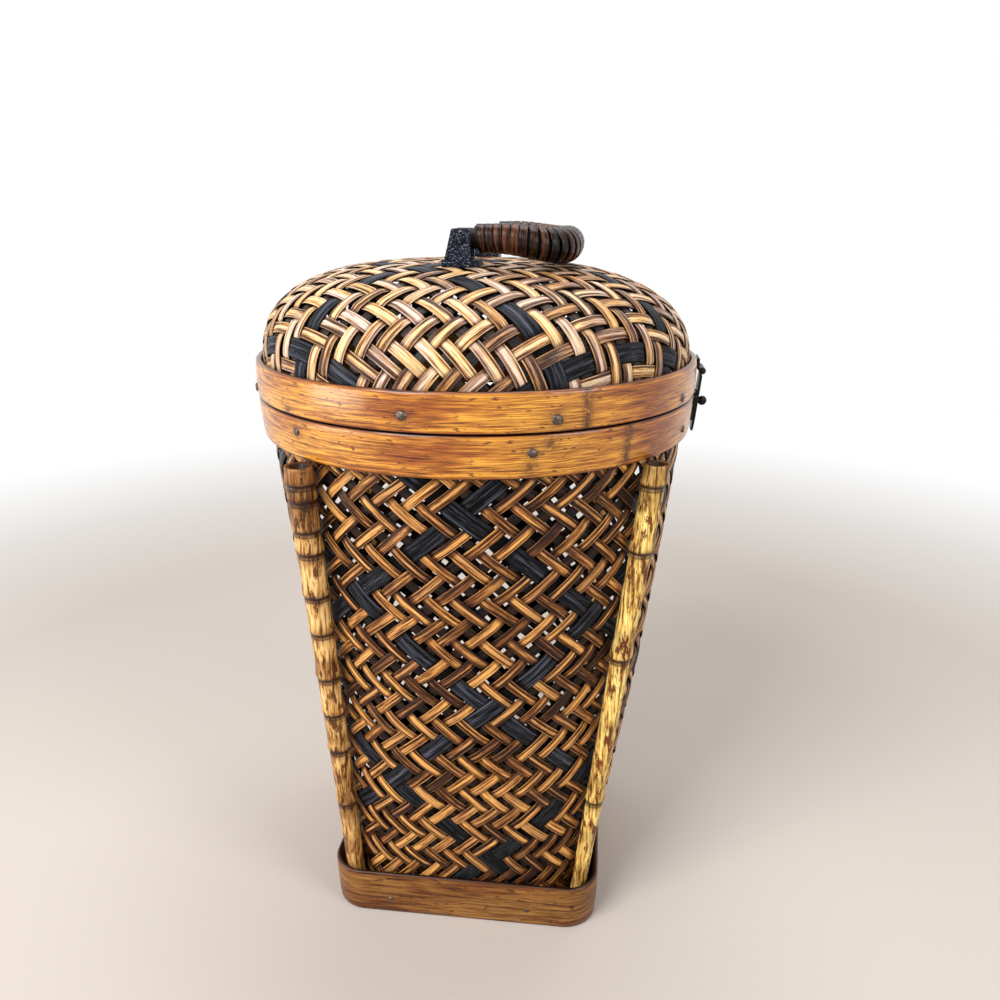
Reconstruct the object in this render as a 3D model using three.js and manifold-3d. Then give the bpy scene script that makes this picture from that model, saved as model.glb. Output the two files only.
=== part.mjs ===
// Lidded rattan basket: a woven body on a rounded square base that turns round at the rim,
// four bamboo corner posts, paired bamboo hoops, a domed hinged lid, a wrapped bail handle
// and an iron hasp that drops over a turning knob.
// Millimetres, +Z up. The origin is the centre of the base hoop, on the floor.
// +X is the latch side, -X the hinge side, -Y the front.
import * as THREE from 'three';
import { mergeVertices } from 'three/addons/utils/BufferGeometryUtils.js';
import Module from 'manifold-3d';

const wasm = await Module();
wasm.setup();

const quarterTurn = Math.PI / 2;
const sideways = new THREE.Vector3(0, 1, 0);
const upward = new THREE.Vector3(0, 0, 1);

// Clearances
const seatGap = 0.3; // between pieces that touch
const seamGap = 0.4; // between the lid and the body
const cutOverrun = 4; // a drill runs this far past what it goes through

// Basket body
const baseHalf = 90; // half side of the base hoop, outer face, at its upper edge
const baseHoopHeight = 32.5;
const baseHoopDraw = 1.2; // how far the base hoop draws in from its upper to its lower edge
const baseHoopCorner = 22; // outer corner radius
const baseHoopThickness = 3.2;
const rimHeight = 347.3;
const rimRadius = 135.8; // body rim hoop, outer face, at the seam
const rimHoopHeight = 23.6;
const rimHoopThickness = 4;
const innerHoopThickness = 2.8;
const weaveThickness = 3;
const wallBow = 5.5; // how far the wall bows outward at mid height
const skirtBottom = 2; // the woven wall ends this far above the floor
const floorUnderside = 12;
const floorThickness = 3;
const footRingBottom = 0.5;
const footRingThickness = 3;
const floorMiddle = 0.5; // size of the floor's inner ring of points, as a share

// Hoop section and scarf joint
const hoopCrown = 0.4; // bulge of a hoop's outer face
const hoopEdge = 0.12; // share of the height taken by each rounded edge
const scarfFeather = 0.7; // thickness left at each feathered end
const scarfAzimuth = THREE.MathUtils.degToRad(105);
const baseScarfStart = quarterTurn; // in the middle of the back side

// Corner posts, cut from knotty bamboo
const postRootAzimuth = THREE.MathUtils.degToRad(1.5); // off the base's corner
const postTopAzimuth = THREE.MathUtils.degToRad(8.5);
const postRootRadius = 6;
const postTopRadius = 8.2;
const postBulge = 0.8; // how far a knot stands out
const postBottom = 3;
const postTopDrop = 25.6; // from the rim's seam down to the posts' cut ends
// A knot from below to above: distance along the post, share of the bulge.
const knotProfile = [[-2.4, 0], [-0.5, 0.55], [0.6, 1], [4, 0.45]];
// Heights of the knots above the floor.
const knotsOfDensePost = [87, 131, 159, 186, 218, 243, 271, 285, 303, 313];
const knotsOfSparsePost = [90, 195, 267, 309];
const knotsOfBackPost = [70, 122, 170, 214, 252, 287, 308];

// Bamboo slats under the floor
const slatWidth = 22;
const slatThickness = 2.8;
const slatEdge = 0.7; // thickness left at a slat's long edges, as a share

// Lid
const lidHoopHeight = 21.3;
const lidOverhang = 0.2; // the lid's hoop over the body's, at the seam
const domeShoulder = 18.3; // straight part of the lid's wall, from the lid's lower edge
const domeHeight = 58.3;
const domeRadialPower = 2 / 3;
const domeRisePower = 2 / 2.48;
const domeSpread = 0.4; // how much wider the rings lie towards the crown
const crownLean = 6; // the crown sits this far towards the hinge

// The gaps between the weave's strips are gathered into a plain grid of diamond openings, each
// in the middle of one facet, and every second row a facet on.
const gapRowMargin = 6.5; // from the base hoop up to the lowest row of gaps on the wall
const gapRowPitch = 46;
const gapWidthShare = 0.88; // of a facet's width
const gapHeightShare = 0.66; // of a row's height
const gapOverrun = 5; // a gap's cutter begins this far outside
const gapDepth = 38; // and narrows to a tip this far inside
const domeGapRows = [2, 3, 4]; // rows of the dome's facets that have gaps

// Bail handle
const handleHalfSpan = 45; // from the middle to each leg's axis
const handleReach = 56.5; // from the pivot to the middle of the grip
const handleCorner = 22;
const handleDroop = 4; // the grip lies this much lower than the pivot
const droopStart = 0.6; // share of the straight leg before the droop begins
const handleRadius = 8; // over the wrapping, at the brackets
const gripSwell = 2.5; // extra radius at the middle of the grip
const pivotX = -2;
const pivotAboveDome = 14.2; // pivot axis over the dome at the brackets
const wrapTurns = 24;
const wrapThickness = 2;
const wrapSeat = 0.5; // from the core to the wrapping
const wrapGap = 1.1; // between neighbouring turns
const wrapStart = 8.5; // from the pivot to the first turn
const coreInset = 1; // the bent rod starts this far past each pivot's axis
const eyeRadius = 5.4;
const eyeLength = 12.4;

// Handle brackets
const earThickness = 3.2;
const earAbovePivot = 5.5;
const earLeftTop = 5;
const earLeftBottom = 9;
const earRight = 5.6;
const earTopCorner = 2;
const earSink = 1; // the ears run this far into the foot
const footOverhang = 4.8; // foot beyond the ears, under the handle's leg
const footThickness = 3; // over the dome at the pivot
const footStock = 19.4; // deep enough to be trimmed to the dome's slope
const footMargin = 1.3;
const handlePinRadius = 2;
const handlePinHead = 3.1;
const handlePinHeadHeight = 1.1;
const rivetRadius = 1.5;
const rivetHeadRadius = 2.7;
const rivetHeadHeight = 1.3;
const rivetSpacing = 8;
const backingDepth = 3.3; // from the dome's underside at the pivot down to the plate's
const backingMargin = 1;

// Hinge at the back of the rim
const hingeBarrelRadius = 2.6;
const hingePinRadius = 1.3;
const hingeWidth = 28;
const hingeKnuckles = 5;
const hingeStandOff = 0.4; // from the lid's hoop to the barrel
const hingeWebOverlap = 0.6; // each knuckle's web runs this far onto its leaf
const hingeLeafThickness = 1.2;
const hingeLidLeaf = 17;
const hingeBodyLeaf = 19;
const knuckleGap = 0.4;
const pinHeadShare = 0.85; // a hinge pin's head over its barrel
const pinHeadHeight = 1;

// Hasp, its lid plate and the knob's plate
const haspPivotDrop = 9; // pivot below the lid hoop's upper edge
const haspLength = 38.5;
const haspWidth = 15;
const haspThickness = 1.2;
const haspShoulder = 3; // below the pivot
const haspCorner = 1.6;
const haspTip = 8.2; // width of the flat end
const haspTaper = 4; // the sides turn in towards the tip over this length
const haspKnuckleRadius = 2.1;
const haspKnuckleWidth = 5.8;
const haspPinRadius = 1;
const latchLeafThickness = 1.2;
const latchLeafWidth = 17;
const latchLeafTop = 1.6; // leaf's upper edge below the hoop's
const latchLeafRise = 0.84; // leaf's lower edge above the pivot
const bodyPlateWidth = 18;
const bodyPlateHeight = 17.5;
const bodyPlateThickness = 1.3;
const bodyPlateCorner = 3;
const bodyPlateDrop = 1; // plate's upper edge below the seam
const knobDrop = 6.6; // knob's axis below the seam
const knobShankRadius = 1.3;
const knobTall = 3;
const knobOut = 2.9;
const knobThin = 2;
const knobClenchRadius = 3;
const knobClenchThickness = 1;
const slotMargin = 0.5;
const slotRim = 3; // metal left below the slot before the tip's taper

// Points of a quarter of the wall as shares of its length, from the middle of a side: eight even
// facets, of which the one at the corner is split in two. Rows of gaps take turns at the facets.
const facetPoints = [0.5, 1.5, 2.5, 3.5, 4, 4.5, 5.5, 6.5, 7.5].map((place) => place / 8);
const facetsOfEvenRows = [1, 6, 8];
const facetsOfOddRows = [0, 2, 5, 7];

// Share of a quarter that half a side takes where an outline is paced: two of its facets.
const sideShare = 2 / facetPoints.length;

// Fineness
const roundSteps = 4 * facetPoints.length;
const domeSteps = 7;
const crownShare = 0.985; // how near the dome's last ring comes to its crown
const postSides = 8;
const coreSides = 12;
const coreStations = 22;
const turnSteps = 12;
const barrelSides = 16;
const boreSides = 12;
const pinSides = 8;

// Finishes
function finish(color, roughness, metalness = 0) {
  return new THREE.MeshStandardMaterial({ color, roughness, metalness });
}
const rattan = finish(0xa8743c, 0.6);
const hoopBamboo = finish(0xb8691f, 0.35);
const baseBamboo = finish(0x8a4f22, 0.4);
const postBamboo = finish(0xc79a55, 0.45);
const paleBamboo = finish(0xd9be86, 0.45);
const slatBamboo = finish(0xb48a50, 0.6);
const darkRattan = finish(0x4a2012, 0.3);
const coreWood = finish(0x3a2418, 0.6);
const blackIron = finish(0x23252e, 0.5, 0.8);
const darkIron = finish(0x2c2b2a, 0.45, 0.85);

const model = new THREE.Group();

function add(name, geometry, material) {
  const mesh = new THREE.Mesh(geometry, material);
  mesh.name = name;
  model.add(mesh);
  return mesh;
}

// Solids from rings

function signedVolume(positions, index) {
  let sum = 0;
  const corner = [new THREE.Vector3(), new THREE.Vector3(), new THREE.Vector3()];
  for (let i = 0; i < index.length; i += 3) {
    for (let k = 0; k < 3; k += 1) {
      corner[k].fromArray(positions, 3 * index[i + k]);
    }
    sum += corner[0].dot(corner[1].clone().cross(corner[2]));
  }
  return sum / 6;
}

// Joins rings of equal count into one closed skin. A looped skin joins its last ring to its
// first, and any other is capped with a fan at each end.
function skin(rings, looped = false) {
  const count = rings[0].length;
  const positions = [];
  for (const ring of rings) {
    for (const p of ring) {
      positions.push(p.x, p.y, p.z);
    }
  }
  const index = [];
  const spans = looped ? rings.length : rings.length - 1;
  for (let i = 0; i < spans; i += 1) {
    const low = i * count;
    const high = ((i + 1) % rings.length) * count;
    for (let k = 0; k < count; k += 1) {
      const next = (k + 1) % count;
      index.push(low + k, low + next, high + next);
      index.push(low + k, high + next, high + k);
    }
  }
  if (!looped) {
    for (const [ring, start, forward] of [
      [rings[0], 0, false],
      [rings[rings.length - 1], (rings.length - 1) * count, true],
    ]) {
      const middle = new THREE.Vector3();
      for (const p of ring) {
        middle.addScaledVector(p, 1 / count);
      }
      const centre = positions.length / 3;
      positions.push(middle.x, middle.y, middle.z);
      for (let k = 0; k < count; k += 1) {
        const next = (k + 1) % count;
        index.push(centre, start + (forward ? k : next), start + (forward ? next : k));
      }
    }
  }
  if (signedVolume(positions, index) < 0) {
    for (let i = 0; i < index.length; i += 3) {
      [index[i + 1], index[i + 2]] = [index[i + 2], index[i + 1]];
    }
  }
  const geometry = new THREE.BufferGeometry();
  geometry.setAttribute('position', new THREE.Float32BufferAttribute(positions, 3));
  geometry.setIndex(index);
  geometry.computeVertexNormals();
  return geometry;
}

// Joining and cutting

function toSolid(geometry) {
  const bare = geometry.clone();
  bare.deleteAttribute('normal');
  bare.deleteAttribute('uv');
  const merged = mergeVertices(bare);
  return new wasm.Manifold(new wasm.Mesh({
    numProp: 3,
    vertProperties: new Float32Array(merged.attributes.position.array),
    triVerts: new Uint32Array(merged.index.array),
  }));
}

function toGeometry(solid) {
  const mesh = solid.getMesh();
  const geometry = new THREE.BufferGeometry();
  geometry.setAttribute('position', new THREE.Float32BufferAttribute(mesh.vertProperties, 3));
  geometry.setIndex(Array.from(mesh.triVerts));
  geometry.computeVertexNormals();
  return geometry;
}

function joined(...geometries) {
  const solids = geometries.map(toSolid);
  return toGeometry(solids.slice(1).reduce((sum, next) => sum.add(next), solids[0]));
}

function cut(geometry, ...tools) {
  return toGeometry(tools.map(toSolid).reduce((rest, tool) => rest.subtract(tool), toSolid(geometry)));
}

function common(geometry, tool) {
  return toGeometry(toSolid(geometry).intersect(toSolid(tool)));
}

// A cylinder between two points.
function rod(from, to, radius, sides = barrelSides) {
  const along = to.clone().sub(from);
  const geometry = new THREE.CylinderGeometry(radius, radius, along.length(), sides);
  const turn = new THREE.Quaternion().setFromUnitVectors(
    new THREE.Vector3(0, 1, 0),
    along.clone().normalize(),
  );
  geometry.applyQuaternion(turn);
  geometry.translate(...from.clone().add(to).multiplyScalar(0.5).toArray());
  return geometry;
}

// A turned piece: its profile's points are [radius, distance along the axis].
function turned(profile, origin, axis, sides) {
  const points = profile.map(([radius, along]) => new THREE.Vector2(radius, along));
  const geometry = new THREE.LatheGeometry(points, sides);
  geometry.applyQuaternion(new THREE.Quaternion().setFromUnitVectors(new THREE.Vector3(0, 1, 0), axis));
  geometry.translate(origin.x, origin.y, origin.z);
  return geometry;
}

// A domed head's profile, as shares of its radius and height.
const headShape = [[1, 0], [0.9, 0.5], [0.5, 1], [0, 1]];

function domedHead(radius, height, seat) {
  return headShape.map(([out, up]) => [out * radius, seat + up * height]);
}

// A pin or rivet with a domed head at each end. Its shank runs from one distance along the
// axis to another.
function headedPin(name, origin, axis, radius, from, to, headRadius, headHeight) {
  const profile = [
    ...domedHead(headRadius, -headHeight, from).reverse(),
    [radius, from],
    [radius, to],
    ...domedHead(headRadius, headHeight, to),
  ];
  add(name, turned(profile, origin, axis, pinSides), darkIron);
}

function block(xLow, xHigh, yLow, yHigh, zLow, zHigh) {
  const geometry = new THREE.BoxGeometry(xHigh - xLow, yHigh - yLow, zHigh - zLow);
  geometry.translate((xLow + xHigh) / 2, (yLow + yHigh) / 2, (zLow + zHigh) / 2);
  return geometry;
}

// Outline of the body: a square with round corners, which is a circle where the corner
// radius reaches the half side. A point is given by the direction that its edge faces.
const cornerShare = Math.SQRT2 - 1;

function roundedPoint(half, corner, facing, z) {
  const centre = half - corner;
  const x = Math.cos(facing);
  const y = Math.sin(facing);
  return new THREE.Vector3(Math.sign(x) * centre + x * corner, Math.sign(y) * centre + y * corner, z);
}

// The same outline by its way round, which also has steps on the flat sides: a quarter turn
// is half a side, the corner, and half the next side.
function pacedPoint(half, corner, turn, z) {
  const quarters = turn / quarterTurn;
  const quarter = Math.floor(quarters);
  const share = quarters - quarter;
  const centre = half - corner;
  const point = new THREE.Vector3(half, centre * Math.min(1, share / sideShare), z);
  if (share > 1 - sideShare) {
    point.set((centre * (1 - share)) / sideShare, half, z);
  } else if (share > sideShare) {
    const facing = ((share - sideShare) / (1 - 2 * sideShare)) * quarterTurn;
    point.set(centre + corner * Math.cos(facing), centre + corner * Math.sin(facing), z);
  }
  return point.applyAxisAngle(upward, quarter * quarterTurn);
}

function polar(reach, azimuth, z) {
  return new THREE.Vector3(reach * Math.cos(azimuth), reach * Math.sin(azimuth), z);
}

// Directions of a ring's points, half a step off the axes.
function facings() {
  const step = (2 * Math.PI) / roundSteps;
  return Array.from({ length: roundSteps }, (_, i) => (i + 0.5) * step);
}

const weaveBaseHalf = baseHalf - baseHoopThickness - seatGap;
const weaveRimRadius = rimRadius - rimHoopThickness - seatGap;

function bodyHalf(z) {
  if (z < baseHoopHeight) {
    return weaveBaseHalf - baseHoopDraw * (1 - z / baseHoopHeight);
  }
  const t = (z - baseHoopHeight) / (rimHeight - baseHoopHeight);
  return weaveBaseHalf + (weaveRimRadius - weaveBaseHalf) * t + wallBow * Math.sin(Math.PI * t);
}

// Each post's axis runs straight from inside the base hoop's corner to a point just outside
// the round wall under the rim hoop.
const postTop = rimHeight - postTopDrop;
const hoopInnerHalf = baseHalf - baseHoopThickness;
const hoopInnerCorner = baseHoopCorner - baseHoopThickness;
const postRoom = hoopInnerCorner - seatGap - postRootRadius;
const cornerCentre = (hoopInnerHalf - hoopInnerCorner) * Math.SQRT2;
const postRootReach = cornerCentre * Math.cos(postRootAzimuth)
  + Math.sqrt(Math.max(0, postRoom ** 2 - (cornerCentre * Math.sin(postRootAzimuth)) ** 2));
const postTopReach = bodyHalf(postTop) + seatGap + postTopRadius + postBulge;

function postAxis(corner, z) {
  const low = polar(postRootReach, corner + postRootAzimuth, baseHoopHeight);
  const high = polar(postTopReach, corner + postTopAzimuth, postTop);
  return low.clone().lerp(high, (z - baseHoopHeight) / (postTop - baseHoopHeight));
}

function postRadius(z) {
  const share = (z - baseHoopHeight) / (postTop - baseHoopHeight);
  return postRootRadius + (postTopRadius - postRootRadius) * share;
}

// The wall's corners are as full as the posts that stand in front of them allow.
function bodyCorner(z) {
  const half = bodyHalf(z);
  if (z > postTop) {
    return half;
  }
  const axis = postAxis(0, z);
  const room = Math.hypot(axis.x, axis.y) - postRadius(z) - postBulge - seatGap;
  return Math.min(half, (half * Math.SQRT2 - room) / cornerShare);
}

function bodyPoint(z, offset, facing) {
  return roundedPoint(bodyHalf(z) + offset, bodyCorner(z) + offset, facing, z);
}

function bodyRing(z, offset, share = 1) {
  return facings().map((facing) => {
    const point = bodyPoint(z, offset, facing);
    return point.set(point.x * share, point.y * share, z);
  });
}

// Where the wall has gaps its facets are even, whatever its corner radius.
function evenRing(z, offset) {
  const half = bodyHalf(z);
  const corner = bodyCorner(z);
  const flat = half - corner;
  const bendLength = quarterTurn * corner;
  const points = [];
  for (let quarter = 0; quarter < 4; quarter += 1) {
    for (const share of facetPoints) {
      const way = share * (2 * flat + bendLength);
      const bend = THREE.MathUtils.clamp((way - flat) / corner, 0, quarterTurn);
      const beyond = Math.max(0, way - flat - bendLength);
      points.push(new THREE.Vector3(
        flat + (corner + offset) * Math.cos(bend) - beyond,
        Math.min(way, flat) + (corner + offset) * Math.sin(bend),
        z,
      ).applyAxisAngle(upward, quarter * quarterTurn));
    }
  }
  return points;
}

// A cutter for the facet between two neighbouring points of two rings: a pyramid with a diamond
// base just outside the facet and its tip deep inside.
function gapCutter(low, high, facet) {
  const next = (facet + 1) % low.length;
  const between = (a, b) => a.clone().add(b).multiplyScalar(0.5);
  const up = between(high[facet], high[next]).sub(between(low[facet], low[next]));
  const side = between(low[next], high[next]).sub(between(low[facet], high[facet]));
  const out = side.clone().cross(up).normalize();
  const centre = between(between(low[facet], high[facet]), between(low[next], high[next]));
  const grown = (gapDepth + gapOverrun) / gapDepth / 2;
  const base = centre.clone().addScaledVector(out, gapOverrun);
  side.multiplyScalar(gapWidthShare * grown);
  up.multiplyScalar(gapHeightShare * grown);
  const positions = [
    ...base.clone().add(side).toArray(),
    ...base.clone().add(up).toArray(),
    ...base.clone().sub(side).toArray(),
    ...base.clone().sub(up).toArray(),
    ...centre.addScaledVector(out, -gapDepth).toArray(),
  ];
  const geometry = new THREE.BufferGeometry();
  geometry.setAttribute('position', new THREE.Float32BufferAttribute(positions, 3));
  geometry.setIndex([0, 1, 2, 0, 2, 3, 1, 0, 4, 2, 1, 4, 3, 2, 4, 0, 3, 4]);
  return geometry;
}

// Latch axis, which the wall and both hoops are drilled for

const latchZ = rimHeight - knobDrop;
const rimFlare = bodyHalf(rimHeight) - bodyHalf(rimHeight - rimHoopHeight);
const latchSlope = Math.atan(rimFlare / rimHoopHeight);
const latchOut = new THREE.Vector3(Math.cos(latchSlope), 0, -Math.sin(latchSlope));
const latchUp = new THREE.Vector3(Math.sin(latchSlope), 0, Math.cos(latchSlope));
const latchFace = new THREE.Vector3(bodyHalf(latchZ) + seatGap + rimHoopThickness, 0, latchZ);

// A point on the latch: out from the hoop's face, up along it.
function latchPoint(out, up) {
  return latchFace.clone().addScaledVector(latchOut, out).addScaledVector(latchUp, up);
}

const wallStack = rimHoopThickness + weaveThickness + innerHoopThickness + 2 * seatGap;
const shankHole = rod(
  latchPoint(-wallStack - cutOverrun, 0),
  latchPoint(cutOverrun, 0),
  knobShankRadius + seatGap,
  boreSides,
);

// Woven body with its floor: one shell, open at the top

const rimHoopLow = rimHeight - rimHoopHeight;
const gapRowLow = baseHoopHeight + gapRowMargin;
const gapRows = Math.floor((rimHoopLow - gapRowLow) / gapRowPitch); // as many as find room
const gapHeights = Array.from({ length: gapRows + 1 }, (_, row) => gapRowLow + row * gapRowPitch);

// The corner facets stay closed, because the posts stand in front of them.
function wallGaps() {
  const gaps = [];
  for (let row = 0; row < gapRows; row += 1) {
    const low = evenRing(gapHeights[row], 0);
    const high = evenRing(gapHeights[row + 1], 0);
    for (let quarter = 0; quarter < 4; quarter += 1) {
      for (const facet of row % 2 ? facetsOfOddRows : facetsOfEvenRows) {
        gaps.push(gapCutter(low, high, quarter * facetPoints.length + facet));
      }
    }
  }
  return gaps;
}

function wovenBody() {
  const rings = [];
  const floorTop = floorUnderside + floorThickness;
  rings.push(bodyRing(floorUnderside, -weaveThickness, floorMiddle));
  rings.push(bodyRing(floorUnderside, -weaveThickness));
  rings.push(bodyRing(skirtBottom, -weaveThickness));
  rings.push(bodyRing(skirtBottom, 0));
  rings.push(bodyRing(baseHoopHeight, 0));
  rings.push(...gapHeights.map((z) => evenRing(z, 0)));
  rings.push(bodyRing(rimHoopLow, 0));
  rings.push(bodyRing(rimHeight, 0));
  rings.push(bodyRing(rimHeight, -weaveThickness));
  rings.push(bodyRing(rimHoopLow, -weaveThickness));
  rings.push(...gapHeights.map((z) => evenRing(z, -weaveThickness)).reverse());
  rings.push(bodyRing(baseHoopHeight, -weaveThickness));
  rings.push(bodyRing(floorTop, -weaveThickness));
  rings.push(bodyRing(floorTop, -weaveThickness, floorMiddle));
  return skin(rings);
}

add('body_weave', cut(wovenBody(), shankHole, ...wallGaps()), rattan);

// Hoops: one bent bamboo strip each, whose feathered ends lie over each other in a scarf

function hoop(pointAt, zLow, height, thickness, start, crown = hoopCrown) {
  const feather = Math.min(scarfFeather, thickness / 4);
  const step = (2 * Math.PI) / roundSteps;
  const scarfAngle = (step * (thickness - feather)) / (thickness - 2 * feather - seatGap);
  const rise = (turn) => feather + (thickness - feather) * (turn / scarfAngle);
  const turns = [];
  for (let turn = 0; turn < 2 * Math.PI - step / 2; turn += step) {
    turns.push(turn);
  }
  turns.push(2 * Math.PI, 2 * Math.PI + step);
  const face = crown > 0 ? [0, hoopEdge, 0.5, 1 - hoopEdge, 1] : [0, 1];
  return skin(turns.map((turn) => {
    const inner = turn < 2 * Math.PI ? 0 : rise(turn - 2 * Math.PI) + seatGap;
    const outer = Math.min(thickness, rise(turn));
    const place = (share, offset) => pointAt(zLow + height * share, offset, start + turn);
    const section = face.map((share) => place(share, outer - crown * (2 * share - 1) ** 2));
    return [place(1, inner), place(0, inner), ...section];
  }));
}

const innerHoopOffset = -weaveThickness - seatGap - innerHoopThickness;

function outerRim(z, offset, facing) {
  return bodyPoint(z, seatGap + offset, facing);
}

function innerRim(z, offset, facing) {
  return bodyPoint(z, innerHoopOffset + offset, facing);
}

add(
  'body_rim_hoop_outer',
  cut(hoop(outerRim, rimHoopLow, rimHoopHeight, rimHoopThickness, scarfAzimuth), shankHole),
  hoopBamboo,
);
add(
  'body_rim_hoop_inner',
  cut(hoop(innerRim, rimHoopLow, rimHoopHeight, innerHoopThickness, -scarfAzimuth, 0), shankHole),
  hoopBamboo,
);

function baseHoopPoint(z, offset, turn) {
  return pacedPoint(bodyHalf(z) + seatGap + offset, hoopInnerCorner + offset, turn, z);
}

add(
  'base_hoop_outer',
  hoop(baseHoopPoint, 0, baseHoopHeight, baseHoopThickness, baseScarfStart, 0),
  baseBamboo,
);

const footRingHeight = floorUnderside - seatGap - footRingBottom;
const footRingOffset = -weaveThickness - seatGap - footRingThickness;

function footRingPoint(z, offset, turn) {
  const inset = footRingOffset + offset;
  return pacedPoint(bodyHalf(z) + inset, bodyCorner(z) + inset, turn, z);
}

add(
  'base_hoop_inner',
  hoop(footRingPoint, footRingBottom, footRingHeight, footRingThickness, -baseScarfStart, 0),
  baseBamboo,
);

// Corner posts

function post(name, corner, knots, material) {
  const foot = postAxis(corner, postBottom);
  const head = postAxis(corner, postTop);
  const along = head.clone().sub(foot);
  const stretch = along.length() / (postTop - postBottom);
  const profile = [[0, 0], [postRadius(postBottom), 0]];
  const knotTop = knotProfile[knotProfile.length - 1][0];
  for (const z of knots.filter((knot) => knot + knotTop < postTop)) {
    for (const [rise, bulge] of knotProfile) {
      profile.push([postRadius(z + rise) + postBulge * bulge, (z + rise - postBottom) * stretch]);
    }
  }
  profile.push([postTopRadius, along.length()], [0, along.length()]);
  add(name, turned(profile, foot, along.clone().normalize(), postSides), material);
}

post('corner_post_front_left', -1.5 * quarterTurn, knotsOfDensePost, postBamboo);
post('corner_post_front_right', -0.5 * quarterTurn, knotsOfSparsePost, paleBamboo);
post('corner_post_back_right', 0.5 * quarterTurn, knotsOfBackPost, postBamboo);
post('corner_post_back_left', 1.5 * quarterTurn, knotsOfSparsePost, postBamboo);

// Two slats cross under the floor, and their ends meet the inner base hoop

function slat(zLow) {
  const halfLength = bodyHalf(zLow) + footRingOffset - seatGap;
  const shape = new THREE.Shape();
  shape.moveTo(-slatWidth / 2, 0);
  shape.lineTo(slatWidth / 2, 0);
  shape.lineTo(slatWidth / 2, slatThickness * slatEdge);
  shape.quadraticCurveTo(0, slatThickness * (2 - slatEdge), -slatWidth / 2, slatThickness * slatEdge);
  const geometry = new THREE.ExtrudeGeometry(shape, {
    depth: 2 * halfLength,
    bevelEnabled: false,
    curveSegments: 4,
  });
  geometry.translate(0, 0, -halfLength);
  geometry.rotateX(quarterTurn);
  geometry.translate(0, 0, zLow);
  return geometry;
}

const upperSlatLow = floorUnderside - seatGap - slatThickness;
const lowerSlatLow = upperSlatLow - seatGap - slatThickness;
add('floor_slat_crosswise', slat(upperSlatLow), slatBamboo);
const lengthwise = slat(lowerSlatLow);
lengthwise.rotateZ(quarterTurn);
add('floor_slat_lengthwise', lengthwise, slatBamboo);

// Lid: dome and hoops

const lidLow = rimHeight + seamGap;
const lidHoopRadius = rimRadius + lidOverhang;
const lidHoopTop = lidLow + lidHoopHeight;
const lidWeaveRadius = lidHoopRadius - rimHoopThickness - seatGap;
const domeLow = lidLow + domeShoulder;

function domeRing(radius, height, angle) {
  const rise = Math.sin(angle) ** domeRisePower;
  const reach = radius * Math.cos(angle) ** domeRadialPower;
  return facings().map((azimuth) => {
    const point = polar(reach, azimuth, domeLow + height * rise);
    point.x -= crownLean * rise * rise;
    return point;
  });
}

// Rings over the dome from its shoulder to just short of the crown.
function domeRings(radius, height) {
  const rings = [];
  for (let i = 0; i <= domeSteps; i += 1) {
    const share = i / domeSteps;
    const spread = share * (1 - domeSpread + domeSpread * share);
    const angle = crownShare * quarterTurn * spread;
    rings.push(domeRing(radius, height, angle));
  }
  return rings;
}

function circle(radius, z) {
  return facings().map((azimuth) => polar(radius, azimuth, z));
}

// A solid plug with the dome's shape, grown or shrunk by an offset.
function domePlug(offset) {
  const radius = lidWeaveRadius + offset;
  return skin([circle(radius, lidLow), ...domeRings(radius, domeHeight + offset)]);
}

function domeTopAt(x, y, offset = 0) {
  const radius = lidWeaveRadius + offset;
  let rise = 1;
  for (let i = 0; i < 12; i += 1) {
    const reach = Math.hypot(x + crownLean * rise * rise, y) / radius;
    const angle = Math.acos(Math.min(1, reach ** (1 / domeRadialPower)));
    rise = Math.sin(angle) ** domeRisePower;
  }
  return domeLow + (domeHeight + offset) * rise;
}

function wovenLid() {
  const inner = domeRings(lidWeaveRadius - weaveThickness, domeHeight - weaveThickness).reverse();
  return skin([
    ...inner,
    circle(lidWeaveRadius - weaveThickness, lidLow),
    circle(lidWeaveRadius, lidLow),
    ...domeRings(lidWeaveRadius, domeHeight),
  ]);
}

function domeGaps() {
  const rings = domeRings(lidWeaveRadius, domeHeight);
  return domeGapRows.flatMap((row) => {
    const gaps = [];
    for (let facet = row % 2; facet < roundSteps; facet += 2) {
      gaps.push(gapCutter(rings[row], rings[row + 1], facet));
    }
    return gaps;
  });
}

function lidOuter(z, offset, azimuth) {
  return polar(lidWeaveRadius + seatGap + offset, azimuth, z);
}

function lidInner(z, offset, azimuth) {
  return polar(lidWeaveRadius + innerHoopOffset + offset, azimuth, z);
}

add(
  'lid_hoop_outer',
  hoop(lidOuter, lidLow, lidHoopHeight, rimHoopThickness, scarfAzimuth + (4 * Math.PI) / roundSteps),
  hoopBamboo,
);
add(
  'lid_hoop_inner',
  hoop(lidInner, lidLow, domeShoulder, innerHoopThickness, -scarfAzimuth, 0),
  hoopBamboo,
);

// Handle brackets, their rivets and backing plates

const pivotZ = domeTopAt(pivotX, handleHalfSpan) + pivotAboveDome;
const earInside = eyeLength / 2 + seatGap;
const earOutside = earInside + earThickness;
const footTop = domeTopAt(pivotX, handleHalfSpan) + footThickness;
const footLeft = pivotX - earLeftBottom - footMargin;
const footRight = pivotX + earRight + footOverhang;

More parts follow.
